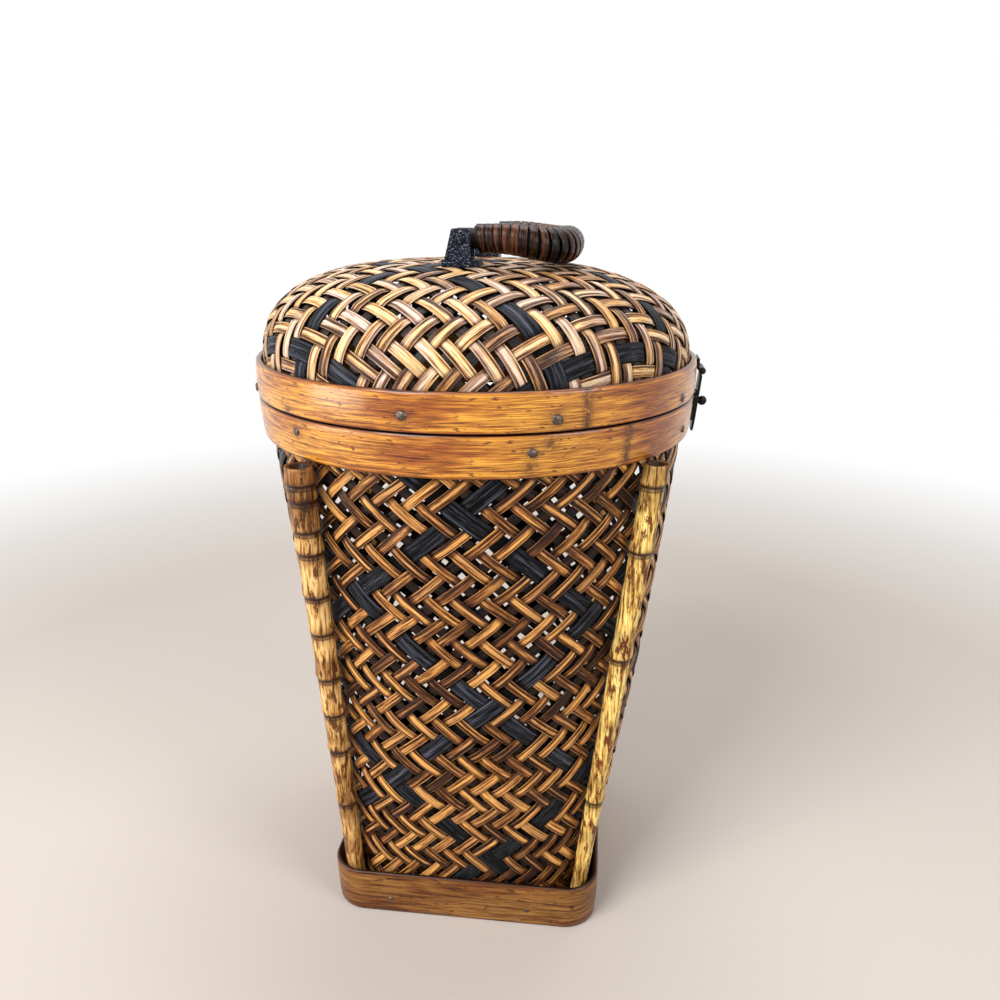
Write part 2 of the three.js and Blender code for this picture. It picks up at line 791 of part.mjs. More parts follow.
function ear(yLow) {
  const low = footTop - earSink - pivotZ;
  const shape = new THREE.Shape();
  shape.moveTo(-earLeftBottom, low);
  shape.lineTo(earRight, low);
  shape.lineTo(earRight, earAbovePivot - earTopCorner);
  shape.quadraticCurveTo(earRight, earAbovePivot, earRight - earTopCorner, earAbovePivot);
  shape.lineTo(-earLeftTop + earTopCorner, earAbovePivot);
  shape.quadraticCurveTo(-earLeftTop, earAbovePivot, -earLeftTop, earAbovePivot - earTopCorner);
  const hole = new THREE.Path();
  hole.absarc(0, 0, handlePinRadius + seatGap, 0, 2 * Math.PI, true);
  shape.holes.push(hole);
  const geometry = new THREE.ExtrudeGeometry(shape, {
    depth: earThickness,
    bevelEnabled: false,
    curveSegments: 8,
  });
  geometry.rotateX(quarterTurn);
  geometry.translate(pivotX, yLow + earThickness, pivotZ);
  return geometry;
}

function bracketParts(side, y) {
  const foot = block(footLeft, footRight, y - earOutside, y + earOutside, footTop - footStock, footTop);
  const bracket = joined(foot, ear(y - earOutside), ear(y + earInside));
  const plateLow = domeTopAt(pivotX, y, -weaveThickness) - seatGap - backingDepth;
  const plate = block(
    footLeft + backingMargin,
    footRight - backingMargin,
    y - earOutside + backingMargin,
    y + earOutside - backingMargin,
    plateLow,
    footTop,
  );
  const holes = [];
  for (const [label, x] of [['left', pivotX - rivetSpacing / 2], ['right', pivotX + rivetSpacing / 2]]) {
    const down = new THREE.Vector3(x, y, plateLow - cutOverrun);
    const up = new THREE.Vector3(x, y, footTop + cutOverrun);
    holes.push(rod(down, up, rivetRadius + seatGap, boreSides));
    headedPin(
      `bracket_rivet_${side}_${label}`,
      new THREE.Vector3(x, y, plateLow - seatGap),
      upward,
      rivetRadius,
      0,
      footTop - plateLow + 2 * seatGap,
      rivetHeadRadius,
      rivetHeadHeight,
    );
  }
  const seated = cut(bracket, domePlug(seatGap), ...holes);
  add(`handle_bracket_${side}`, seated, blackIron);
  const backing = cut(common(plate, domePlug(-weaveThickness - seatGap)), ...holes);
  add(`bracket_backing_${side}`, backing, darkIron);
  headedPin(
    `handle_pin_${side}`,
    new THREE.Vector3(pivotX, y, pivotZ),
    sideways,
    handlePinRadius,
    -earOutside - seatGap,
    earOutside + seatGap,
    handlePinHead,
    handlePinHeadHeight,
  );
  return holes;
}

const frontHoles = bracketParts('front', -handleHalfSpan);
const backHoles = bracketParts('back', handleHalfSpan);
add('lid_weave', cut(wovenLid(), ...domeGaps(), ...frontHoles, ...backHoles), rattan);

// Bail handle: a bent core with an eye at each end, and one strip of rattan wound round it

const straightLeg = handleReach - handleCorner;
const cornerLength = quarterTurn * handleCorner;
const gripLength = 2 * (handleHalfSpan - handleCorner);
const bailLength = 2 * (straightLeg + cornerLength) + gripLength;

// The bail's centre line by distance from the front pivot: leg, corner, grip, corner, leg.
function bailPoint(distance) {
  const mirrored = distance > bailLength / 2;
  const s = mirrored ? bailLength - distance : distance;
  let x;
  let y;
  if (s < straightLeg) {
    x = s;
    y = -handleHalfSpan;
  } else if (s < straightLeg + cornerLength) {
    const angle = (s - straightLeg) / handleCorner;
    x = straightLeg + handleCorner * Math.sin(angle);
    y = -handleHalfSpan + handleCorner * (1 - Math.cos(angle));
  } else {
    x = handleReach;
    y = -handleHalfSpan + handleCorner + (s - straightLeg - cornerLength);
  }
  const sag = THREE.MathUtils.smoothstep(x, straightLeg * droopStart, handleReach) * handleDroop;
  return new THREE.Vector3(pivotX + x, mirrored ? -y : y, pivotZ - sag);
}

function gripRadius(distance) {
  const share = Math.sin((Math.PI * distance) / bailLength);
  return handleRadius + gripSwell * share * share;
}

// The frame at a distance: along the bail, sideways in its plane, and up.
function bailFrame(distance) {
  const step = 0.5;
  const along = bailPoint(distance + step).sub(bailPoint(distance - step)).normalize();
  const up = upward.clone().addScaledVector(along, -along.z).normalize();
  const side = up.clone().cross(along).normalize();
  return { centre: bailPoint(distance), along, side, up };
}

// How far the bail turns in a millimetre of its length, in radians.
function bendAt(distance) {
  return bailFrame(distance + 1).along.angleTo(bailFrame(distance - 1).along) / 2;
}

function handleCore() {
  const rings = [];
  for (let i = 0; i <= coreStations; i += 1) {
    const distance = coreInset + ((bailLength - 2 * coreInset) * i) / coreStations;
    const { centre, side, up } = bailFrame(distance);
    const radius = gripRadius(distance) - wrapThickness - wrapSeat;
    const ring = [];
    for (let k = 0; k < coreSides; k += 1) {
      const angle = (k / coreSides) * 2 * Math.PI;
      ring.push(centre.clone()
        .addScaledVector(side, radius * Math.cos(angle))
        .addScaledVector(up, radius * Math.sin(angle)));
    }
    rings.push(ring);
  }
  const pieces = [skin(rings)];
  const bores = [];
  for (const y of [-handleHalfSpan, handleHalfSpan]) {
    const low = new THREE.Vector3(pivotX, y - eyeLength / 2, pivotZ);
    const high = new THREE.Vector3(pivotX, y + eyeLength / 2, pivotZ);
    pieces.push(rod(low, high, eyeRadius));
    const out = new THREE.Vector3(0, eyeLength, 0);
    bores.push(rod(low.clone().sub(out), high.clone().add(out), handlePinRadius + seatGap, boreSides));
  }
  // The rod's ends are trimmed back to the round of the eyes.
  const width = 2 * handleHalfSpan;
  const trim = block(pivotX - 2 * eyeRadius, pivotX, -width, width, 0, 2 * pivotZ);
  const rodOnly = cut(pieces[0], trim);
  return cut(joined(rodOnly, pieces[1], pieces[2]), ...bores);
}

add('handle_core', handleCore(), coreWood);

// The strip's section, across the turn and outward, as shares of its width and thickness.
const stripSection = [[-0.5, 0.4], [-0.3, 1], [0.3, 1], [0.5, 0.4], [0.32, 0], [-0.32, 0]];

function windingRings() {
  const rings = [];
  const first = wrapStart + wrapGap;
  const last = bailLength - wrapStart - wrapGap;
  const pitch = (last - first) / wrapTurns;
  const steps = wrapTurns * turnSteps;
  const stripAt = (distance, angle, straight) => {
    const { centre, along, side, up } = bailFrame(distance);
    const innerPitch = pitch * (1 - bendAt(distance) * gripRadius(distance));
    const width = innerPitch - wrapGap;
    const outward = side.clone().multiplyScalar(Math.cos(angle)).addScaledVector(up, Math.sin(angle));
    const around = up.clone().multiplyScalar(Math.cos(angle)).addScaledVector(side, -Math.sin(angle));
    const base = gripRadius(distance) - wrapThickness;
    return stripSection.map(([across, out]) => centre.clone()
      .addScaledVector(along, across * width)
      .addScaledVector(outward, base + out * wrapThickness)
      .addScaledVector(around, straight));
  };
  const startDistance = first + pitch * 0.5;
  const travel = last - first - pitch;
  rings.push(stripAt(startDistance, 0, -wrapThickness));
  for (let i = 0; i <= steps; i += 1) {
    const share = i / steps;
    rings.push(stripAt(startDistance + travel * share, share * wrapTurns * 2 * Math.PI, 0));
  }
  rings.push(stripAt(startDistance + travel, wrapTurns * 2 * Math.PI, wrapThickness));
  return rings;
}

// Least distance between points of the strip that lie about a turn apart.
function leastGap(rings) {
  const nearby = 3;
  let least = Infinity;
  for (let i = 0; i < rings.length; i += 1) {
    const last = Math.min(rings.length - 1, i + turnSteps + nearby);
    for (let j = i + turnSteps - nearby; j <= last; j += 1) {
      for (const p of rings[i]) {
        for (const q of rings[j]) {
          least = Math.min(least, p.distanceTo(q));
        }
      }
    }
  }
  return least;
}

const winding = windingRings();
console.log(`handle wrapping: ${wrapTurns} turns, least gap ${leastGap(winding).toFixed(2)} mm`);
add('handle_wrap', skin(winding), darkRattan);

// Butt hinge at the back of the rim

const hingeX = -(lidHoopRadius + hingeStandOff + hingeBarrelRadius);
const hingeZ = rimHeight + seamGap / 2;
const knucklePitch = hingeWidth / hingeKnuckles;
const hingeSweep = hingeBarrelRadius + seatGap;

function hingeLeaf(name, ownEnds, onLid) {
  const leaf = [];
  const inner = -(lidHoopRadius + seatGap);
  const outer = inner - hingeLeafThickness;
  const low = onLid ? hingeZ + hingeSweep : -hingeBodyLeaf;
  const high = onLid ? hingeZ + hingeLidLeaf : -hingeSweep;
  const reach = hingeSweep + hingeWebOverlap;
  const halfWidth = hingeWidth / 2;
  if (onLid) {
    leaf.push(block(outer, inner, -halfWidth, halfWidth, low, high));
  } else {
    // The body's leaf leans in with the tapering hoop.
    const plate = block(-hingeLeafThickness, 0, -halfWidth, halfWidth, low, high);
    plate.rotateY(-latchSlope);
    plate.translate(-(rimRadius + seatGap), 0, hingeZ);
    leaf.push(plate);
  }
  for (let i = 0; i < hingeKnuckles; i += 1) {
    if ((i % 2 === 0) === ownEnds) {
      const yLow = -halfWidth + i * knucklePitch + knuckleGap / 2;
      const yHigh = -halfWidth + (i + 1) * knucklePitch - knuckleGap / 2;
      const from = new THREE.Vector3(hingeX, yLow, hingeZ);
      const to = new THREE.Vector3(hingeX, yHigh, hingeZ);
      leaf.push(rod(from, to, hingeBarrelRadius));
      leaf.push(block(
        outer,
        inner,
        yLow,
        yHigh,
        onLid ? hingeZ : hingeZ - reach,
        onLid ? hingeZ + reach : hingeZ,
      ));
    }
  }
  const bore = rod(
    new THREE.Vector3(hingeX, -hingeWidth, hingeZ),
    new THREE.Vector3(hingeX, hingeWidth, hingeZ),
    hingePinRadius + seatGap,
    boreSides,
  );
  add(name, cut(joined(...leaf), bore), darkIron);
}

hingeLeaf('hinge_leaf_lid', false, true);
hingeLeaf('hinge_leaf_body', true, false);

// A pin that is headed a seat's gap beyond each end of its barrel.
function barrelPin(name, centre, radius, barrelLength, barrelRadius) {
  const end = barrelLength / 2 + seatGap;
  headedPin(name, centre, sideways, radius, -end, end, barrelRadius * pinHeadShare, pinHeadHeight);
}

const hingeCentre = new THREE.Vector3(hingeX, 0, hingeZ);
barrelPin('hinge_pin', hingeCentre, hingePinRadius, hingeWidth - knuckleGap, hingeBarrelRadius);

// Latch: a leaf on the lid with two knuckles, the hasp on its pin, and the turning knob that
// comes through the hasp's slot from a plate on the body

const haspOut = seatGap + bodyPlateThickness + seatGap + haspThickness / 2;
const pivotRise = lidHoopTop - haspPivotDrop;
const haspRise = (pivotRise - latchZ) / Math.cos(latchSlope) + haspOut * Math.tan(latchSlope);
const haspPivot = latchPoint(haspOut, haspRise);

function latchLeaf() {
  const inner = lidHoopRadius + seatGap;
  const outer = inner + latchLeafThickness;
  const low = haspPivot.z + latchLeafRise;
  const half = latchLeafWidth / 2;
  const parts = [block(inner, outer, -half, half, low, lidHoopTop - latchLeafTop)];
  for (const side of [-1, 1]) {
    const near = side * (haspKnuckleWidth / 2 + knuckleGap);
    const far = side * half;
    const from = new THREE.Vector3(haspPivot.x, Math.min(near, far), haspPivot.z);
    const to = new THREE.Vector3(haspPivot.x, Math.max(near, far), haspPivot.z);
    parts.push(rod(from, to, haspKnuckleRadius));
    parts.push(block(inner, haspPivot.x, from.y, to.y, low, haspPivot.z + haspKnuckleRadius));
  }
  const bore = rod(
    new THREE.Vector3(haspPivot.x, -latchLeafWidth, haspPivot.z),
    new THREE.Vector3(haspPivot.x, latchLeafWidth, haspPivot.z),
    haspPinRadius + seatGap,
    boreSides,
  );
  const clearance = rod(
    new THREE.Vector3(haspPivot.x, -haspKnuckleWidth / 2 - knuckleGap, haspPivot.z),
    new THREE.Vector3(haspPivot.x, haspKnuckleWidth / 2 + knuckleGap, haspPivot.z),
    haspKnuckleRadius + seatGap,
  );
  return cut(joined(...parts), bore, clearance);
}

add('latch_leaf_lid', latchLeaf(), darkIron);
barrelPin('latch_pin', haspPivot, haspPinRadius, latchLeafWidth, haspKnuckleRadius);

// Distances in the hasp's plane run down from its pivot.
const knobOutCentre = haspThickness / 2 + seatGap + knobOut;
const knobAlong = haspPivot.clone().sub(latchPoint(haspOut, 0)).dot(latchUp);
const knobSweep = Math.hypot(knobAlong, knobOutCentre);
const slotTop = Math.min(knobAlong - knobShankRadius, knobSweep - knobTall) - slotMargin;
const slotBottom = knobSweep + knobTall + slotMargin;
const slotHalf = knobThin + slotMargin;

function hasp() {
  const half = haspWidth / 2;
  const neck = haspKnuckleWidth / 2;
  const tip = haspTip / 2;
  const sideEnd = slotBottom + slotRim;
  const shape = new THREE.Shape();
  shape.moveTo(-neck, 0);
  shape.lineTo(neck, 0);
  shape.lineTo(neck, -haspShoulder);
  shape.lineTo(half - haspCorner, -haspShoulder);
  shape.quadraticCurveTo(half, -haspShoulder, half, -haspShoulder - haspCorner);
  shape.lineTo(half, -sideEnd);
  shape.quadraticCurveTo(half, -haspLength + haspTaper, tip, -haspLength);
  shape.lineTo(-tip, -haspLength);
  shape.quadraticCurveTo(-half, -haspLength + haspTaper, -half, -sideEnd);
  shape.lineTo(-half, -haspShoulder - haspCorner);
  shape.quadraticCurveTo(-half, -haspShoulder, -half + haspCorner, -haspShoulder);
  shape.lineTo(-neck, -haspShoulder);
  const slot = new THREE.Path();
  slot.absarc(0, -slotTop - slotHalf, slotHalf, 0, Math.PI, false);
  slot.absarc(0, -slotBottom + slotHalf, slotHalf, Math.PI, 2 * Math.PI, false);
  slot.closePath();
  shape.holes.push(slot);
  const plate = new THREE.ExtrudeGeometry(shape, {
    depth: haspThickness,
    bevelEnabled: false,
    curveSegments: 6,
  });
  plate.translate(0, 0, -haspThickness / 2);
  // The plate is drawn face up: x sideways, y up along it, z outward.
  const basis = new THREE.Matrix4().makeBasis(sideways, latchUp, latchOut);
  basis.setPosition(haspPivot);
  plate.applyMatrix4(basis);
  const from = haspPivot.clone().addScaledVector(sideways, -haspKnuckleWidth / 2);
  const to = haspPivot.clone().addScaledVector(sideways, haspKnuckleWidth / 2);
  const bore = rod(
    haspPivot.clone().addScaledVector(sideways, -haspWidth),
    haspPivot.clone().addScaledVector(sideways, haspWidth),
    haspPinRadius + seatGap,
    boreSides,
  );
  return cut(joined(plate, rod(from, to, haspKnuckleRadius)), bore);
}

add('latch_hasp', hasp(), darkIron);

function bodyPlate() {
  const half = bodyPlateWidth / 2;
  const top = knobDrop - bodyPlateDrop;
  const bottom = top - bodyPlateHeight;
  const c = bodyPlateCorner;
  const shape = new THREE.Shape();
  shape.moveTo(-half + c, bottom);
  shape.lineTo(half - c, bottom);
  shape.quadraticCurveTo(half, bottom, half, bottom + c);
  shape.lineTo(half, top - c);
  shape.quadraticCurveTo(half, top, half - c, top);
  shape.lineTo(-half + c, top);
  shape.quadraticCurveTo(-half, top, -half, top - c);
  shape.lineTo(-half, bottom + c);
  shape.quadraticCurveTo(-half, bottom, -half + c, bottom);
  const hole = new THREE.Path();
  hole.absarc(0, 0, knobShankRadius + seatGap, 0, 2 * Math.PI, true);
  shape.holes.push(hole);
  const plate = new THREE.ExtrudeGeometry(shape, {
    depth: bodyPlateThickness,
    bevelEnabled: false,
    curveSegments: 5,
  });
  const basis = new THREE.Matrix4().makeBasis(sideways, latchUp, latchOut);
  basis.setPosition(latchPoint(seatGap, 0));
  plate.applyMatrix4(basis);
  return plate;
}

add('latch_plate_body', bodyPlate(), darkIron);

// The knob's shank passes plate, hoops and wall, and is clenched over on the inside.
function knob() {
  const ball = new THREE.SphereGeometry(1, 14, 8);
  ball.scale(knobThin, knobTall, knobOut);
  const basis = new THREE.Matrix4().makeBasis(sideways, latchUp, latchOut);
  basis.setPosition(latchPoint(haspOut + knobOutCentre, 0));
  ball.applyMatrix4(basis);
  const hoopRadius = bodyHalf(latchZ) + innerHoopOffset;
  const facetInset = hoopRadius * (1 - Math.cos(Math.PI / roundSteps));
  const clench = -wallStack - facetInset - seatGap;
  const profile = [
    ...domedHead(knobClenchRadius, -knobClenchThickness, clench).reverse(),
    [knobShankRadius, clench],
    [knobShankRadius, haspOut + knobOutCentre],
    [0, haspOut + knobOutCentre],
  ];
  return joined(ball, turned(profile, latchPoint(0, 0), latchOut, pinSides));
}

add('latch_knob', knob(), darkIron);

export default model;
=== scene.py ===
"""Looks of a lidded rattan basket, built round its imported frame."""

import math

import bmesh
import bpy
import numpy as np
from bpy.props import FloatProperty, FloatVectorProperty, IntProperty, PointerProperty
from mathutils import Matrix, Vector


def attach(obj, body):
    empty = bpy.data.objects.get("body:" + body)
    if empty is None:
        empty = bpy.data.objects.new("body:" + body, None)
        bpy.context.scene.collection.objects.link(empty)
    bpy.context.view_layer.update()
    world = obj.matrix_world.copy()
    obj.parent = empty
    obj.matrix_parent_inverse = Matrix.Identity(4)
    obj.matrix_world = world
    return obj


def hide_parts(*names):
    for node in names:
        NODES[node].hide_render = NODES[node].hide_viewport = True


bl_info = {
    "name": "Lidded rattan basket",
    "version": (1, 0, 0),
    "blender": (4, 5, 0),
    "location": "View3D > Sidebar > Basket",
    "description": "Weave, bamboo, wound handle and ironwork of a lidded basket",
    "category": "Object",
}

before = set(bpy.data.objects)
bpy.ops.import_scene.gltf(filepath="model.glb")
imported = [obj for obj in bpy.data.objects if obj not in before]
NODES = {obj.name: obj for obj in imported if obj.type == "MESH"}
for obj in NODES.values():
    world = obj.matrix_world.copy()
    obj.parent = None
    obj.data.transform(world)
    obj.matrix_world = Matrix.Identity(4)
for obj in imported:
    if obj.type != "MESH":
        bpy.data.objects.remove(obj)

# All sizes in the shape functions are millimetres, as in the part's source.
MM = 0.001
TURN = 2 * math.pi
ROOT_TWO = math.sqrt(2)

# Body
BASE_HALF = 86.5
BASE_HEIGHT = 32.5
BASE_DRAW = 1.2
RIM_HEIGHT = 347.3
RIM_GAIN = 45.0
WALL_BOW = 5.5
WALL_MIDDLE = -1.5
SEAT = 0.3
BASE_CORNER = 18.5

# Corner posts
POST_TOP = 321.7
POST_BOTTOM = 3.0
POST_ROOT_RADIUS = 6.0
POST_TOP_RADIUS = 8.2
POST_BULGE = 0.8
POST_ROOT_TURN = math.radians(1.5)
POST_TOP_TURN = math.radians(8.5)
ROOT_CENTRE = 96.17
ROOT_ROOM = 12.5
DENSE_KNOTS = (87, 131, 159, 186, 218, 243, 271, 285, 303, 313)
SPARSE_KNOTS = (96, 201, 271, 311)
BACK_KNOTS = (70, 122, 170, 214, 252, 287, 308)
# Each post: corner, azimuth, knots, thickness as a share of the full one, finish and slot.
POSTS = (
    ("front_left", -135, DENSE_KNOTS, 0.97, "post bamboo", "post_bamboo"),
    ("front_right", -45, SPARSE_KNOTS, 0.86, "pale post bamboo", "pale_bamboo"),
    ("back_right", 45, BACK_KNOTS, 0.97, "post bamboo", "post_bamboo"),
    ("back_left", 135, SPARSE_KNOTS, 0.92, "pale post bamboo", "pale_bamboo"),
)

# Lid
LID_RADIUS = 131.7
LID_BOTTOM = 347.7
LID_SHOULDER = 366.0
DOME_HEIGHT = 58.3
CROWN_LEAN = 6.0
DOME_SPREAD = 1.5
DOME_RISE = 2 / 2.48
DOME_STEPS = 1500
SKIRT_STEPS = 36
LID_HOOP_TOP = 369.0

# Bail handle
PIVOT = (-2.0, 437.5)
HANDLE_HALF = 45.0
HANDLE_REACH = 56.5
HANDLE_CORNER = 22.0
HANDLE_DROOP = 4.0
HANDLE_LEG = HANDLE_REACH - HANDLE_CORNER
DROOP_FROM = HANDLE_LEG * 0.6
BAIL_RADIUS = 8.0
BAIL_SWELL = 2.5
BEND_LENGTH = math.pi / 2 * HANDLE_CORNER
GRIP_LENGTH = 2 * (HANDLE_HALF - HANDLE_CORNER)
BAIL_LENGTH = 2 * (HANDLE_LEG + BEND_LENGTH) + GRIP_LENGTH
WRAP_START = 9.2
WRAP_GAP = -0.25

# Weave of the wall: places of the dark strips among those that rise and those that fall
WALL_STRIPS = 48
WALL_GIRTH = 700.0
WALL_LOW = 4.8
WALL_HIGH = 343.2
FIRST_ROW = 17.6
DARK_RISING = (-20, -10, -1, 9, 19)
DARK_FALLING = (4, 13, 21, 31, 41)
FLOOR_MIDDLE = 13.5
FLOOR_MARGIN = 1.2

# Weave of the lid: places of the dark strips, counted from the middle of the mat
LID_DARK_FIRST = (-14, -5, 4, 13)
LID_DARK_SECOND = (-10, 2, 14)
LID_MARGIN = 4.2

# Nails of the hoops, and the dark pits beside them: azimuth in degrees, height and size
BODY_NAILS = (
    (-128.2, 339.2, 0.95),
    (-70.2, 337.7, 1.05),
    (-20.0, 333.0, 0.9),
    (30.0, 335.0, 1.0),
    (75.0, 334.0, 1.0),
    (120.0, 336.0, 1.0),
    (155.0, 335.0, 1.0),
)
BODY_PITS = ((-70.5, 329.7, 1.0), (-66.2, 341.7, 1.0))
LID_NAILS = (
    (-157.0, 352.0, 1.0),
    (-98.0, 356.7, 1.1),
    (-65.0, 354.4, 1.15),
    (-24.0, 353.0, 0.9),
    (35.0, 358.0, 1.0),
    (80.0, 357.0, 1.0),
    (125.0, 357.0, 1.0),
)
LID_PITS = ((-131.0, 350.0, 1.0),)
BASE_NAILS = ((-48.5, 12.0, 0.6), (44.0, 12.5, 0.6))


def length_setting(name, description, default):
    """A length that the user may change."""
    return FloatProperty(name=name, description=description, default=default, unit="LENGTH")


def colour_setting(name, description, default):
    """A colour that the user may change."""
    return FloatVectorProperty(name=name, description=description, default=default, subtype="COLOR")


class BasketSettings(bpy.types.PropertyGroup):
    """Sizes and colours of the pieces that are made here."""

    strip_width: length_setting("Strip width", "Width of a tan strip", 0.0058)
    dark_width: length_setting("Dark strip width", "Width of a dark strip", 0.0104)
    strip_thickness: length_setting("Strip thickness", "Thickness of every woven strip", 0.0010)
    row_pitch: length_setting("Row pitch", "Height from one row of crossings to the next", 0.00695)
    lid_width: length_setting("Lid strip width", "Width of a tan strip of the lid", 0.0065)
    mat_pitch: length_setting("Mat pitch", "Distance between strips on the lid and the floor", 0.0103)
    wrap_turns: IntProperty(name="Wrap turns", description="Turns of the strip round the handle", default=36)
    wrap_thickness: length_setting("Wrap thickness", "Thickness of the handle's strip", 0.0017)
    nail_radius: length_setting("Nail radius", "Radius of a hoop nail's head", 0.0028)
    iron_edge: length_setting("Iron edge", "Rounding of the iron's edges", 0.0005)
    rattan_colour: colour_setting("Rattan", "Mean colour of the tan strips", (0.52, 0.205, 0.046))
    dark_colour: colour_setting("Dark rattan", "Colour of the dark strips", (0.0045, 0.0045, 0.0055))
    hoop_colour: colour_setting("Hoop bamboo", "Mean colour of the hoops", (0.61, 0.245, 0.027))
    post_colour: colour_setting("Post bamboo", "Mean colour of the posts", (0.55, 0.31, 0.10))
    iron_colour: colour_setting("Iron", "Colour of the painted iron", (0.006, 0.008, 0.016))
    floor_colour: colour_setting("Floor", "Colour of the floor under the basket", (0.60, 0.54, 0.49))


# Shapes of the body


def body_half(z):
    """Half the wall's width at height z, over its outer face."""
    z = np.asarray(z, float)
    share = (z - BASE_HEIGHT) / (RIM_HEIGHT - BASE_HEIGHT)
    upper = BASE_HALF + RIM_GAIN * share + WALL_BOW * np.sin(math.pi * share)
    lower = BASE_HALF - BASE_DRAW * (1 - z / BASE_HEIGHT)
    return np.where(z < BASE_HEIGHT, lower, upper)


def post_reaches():
    """How far from the middle the posts' axes lie at the base hoop and at their tops."""
    across = ROOT_CENTRE * math.sin(POST_ROOT_TURN)
    root = ROOT_CENTRE * math.cos(POST_ROOT_TURN) + math.sqrt(ROOT_ROOM**2 - across**2)
    top = float(body_half(POST_TOP)) + SEAT + POST_TOP_RADIUS + POST_BULGE
    return root, top


def post_axis(corner, z):
    """Point of a post's axis at height z. corner is the azimuth of its corner."""
    root, top = post_reaches()
    share = (np.asarray(z, float) - BASE_HEIGHT) / (POST_TOP - BASE_HEIGHT)
    low = (root * math.cos(corner + POST_ROOT_TURN), root * math.sin(corner + POST_ROOT_TURN))
    high = (top * math.cos(corner + POST_TOP_TURN), top * math.sin(corner + POST_TOP_TURN))
    return low[0] + (high[0] - low[0]) * share, low[1] + (high[1] - low[1]) * share


def post_radius(z):
    """Radius of a post between its knots."""
    share = (np.asarray(z, float) - BASE_HEIGHT) / (POST_TOP - BASE_HEIGHT)
    return POST_ROOT_RADIUS + (POST_TOP_RADIUS - POST_ROOT_RADIUS) * share


def body_corner(z):
    """Corner radius of the wall at height z."""
    z = np.asarray(z, float)
    half = body_half(z)
    x, y = post_axis(0.0, z)
    room = np.hypot(x, y) - post_radius(z) - POST_BULGE - SEAT
    held = np.minimum(half, (half * ROOT_TWO - room) / (ROOT_TWO - 1))
    return np.where(z > POST_TOP, half, held)


def rounded_point(half, corner, share):
    """Points and outward normals at a share of the way round a rounded square, from the front's middle."""
    flat = half - corner
    quarter = 2 * flat + math.pi / 2 * corner
    way = np.mod(share, 1.0) * 4 * quarter
    side = np.floor(way / quarter)
    rest = way - side * quarter
    angle = np.clip((rest - flat) / corner, 0, math.pi / 2)
    straight = np.maximum(0, rest - flat - math.pi / 2 * corner)
    x = np.where(rest < flat, rest, flat + corner * np.sin(angle))
    y = np.where(rest < flat, -half, -flat - corner * np.cos(angle) + straight)
    normal_x = np.sin(angle)
    normal_y = -np.cos(angle)
    turn = side * math.pi / 2
    cosine = np.cos(turn)
    sine = np.sin(turn)
    return (
        x * cosine - y * sine,
        x * sine + y * cosine,
        normal_x * cosine - normal_y * sine,
        normal_x * sine + normal_y * cosine,
    )


def wall_points(share, z, offset):
    """Points and normals of the wall, offset from its outer face."""
    x, y, normal_x, normal_y = rounded_point(body_half(z), body_corner(z), share)
    points = np.stack([x + offset * normal_x, y + offset * normal_y, z], axis=-1)
    normals = np.stack([normal_x, normal_y, np.zeros_like(normal_x)], axis=-1)
    return points, normals


# Shapes of the lid


def dome_table():
    """Radius, height, lean and normal of the lid's outer face by distance from the crown."""
    angle = np.linspace(0, math.pi / 2, DOME_STEPS)
    radius = LID_RADIUS * np.sin(angle)
    climb = np.arccos(np.clip((radius / LID_RADIUS) ** DOME_SPREAD, 0, 1))
    rise = np.sin(climb) ** DOME_RISE
    height = LID_SHOULDER + DOME_HEIGHT * rise
    lean = -CROWN_LEAN * rise**2
    steps = np.linspace(0.5, LID_SHOULDER - LID_BOTTOM, SKIRT_STEPS)
    radius = np.append(radius, np.full(steps.size, LID_RADIUS))
    height = np.append(height, LID_SHOULDER - steps)
    lean = np.append(lean, np.zeros(steps.size))
    way = np.append(0, np.cumsum(np.hypot(np.diff(radius), np.diff(height))))
    slope_r = np.gradient(radius, way)
    slope_z = np.gradient(height, way)
    return way, radius, height, lean, -slope_z, slope_r


DOME = dome_table()


def lid_points(u, v, offset):
    """Points and normals of the lid over the flat mat's point u, v."""
    way, radius, height, lean, out, up = DOME
    distance = np.hypot(u, v)
    azimuth = np.arctan2(v, u)
    r = np.interp(distance, way, radius)
    z = np.interp(distance, way, height)
    shift = np.interp(distance, way, lean)
    normal_r = np.interp(distance, way, out)
    normal_z = np.interp(distance, way, up)
    length = np.hypot(normal_r, normal_z)
    normal_r = normal_r / length
    normal_z = normal_z / length
    normals = np.stack([normal_r * np.cos(azimuth), normal_r * np.sin(azimuth), normal_z], axis=-1)
    points = np.stack([r * np.cos(azimuth) + shift, r * np.sin(azimuth), z], axis=-1)
    return points + np.asarray(offset)[..., None] * normals, normals


# Shapes of the handle


def smooth(low, high, value):
    """Smooth step from 0 at low to 1 at high."""
    share = np.clip((value - low) / (high - low), 0, 1)
    return share * share * (3 - 2 * share)


def bail_point(way):
    """Point of the bail's centre line by distance from the front pivot."""
    way = np.asarray(way, float)
    mirrored = np.where(way > BAIL_LENGTH / 2, BAIL_LENGTH - way, way)
    angle = np.clip((mirrored - HANDLE_LEG) / HANDLE_CORNER, 0, math.pi / 2)
    along = np.maximum(0, mirrored - HANDLE_LEG - BEND_LENGTH)
    x = np.minimum(mirrored, HANDLE_LEG) + HANDLE_CORNER * np.sin(angle)
    y = -HANDLE_HALF + HANDLE_CORNER * (1 - np.cos(angle)) + along
    y = np.where(way > BAIL_LENGTH / 2, -y, y)
    sag = smooth(DROOP_FROM, HANDLE_REACH, x) * HANDLE_DROOP
    return np.stack([x + PIVOT[0], y, PIVOT[1] - sag], axis=-1)


def bail_radius(way):
    """Radius over the wrapping."""
    share = np.sin(math.pi * np.asarray(way, float) / BAIL_LENGTH)
    return BAIL_RADIUS + BAIL_SWELL * share**2


# Meshes


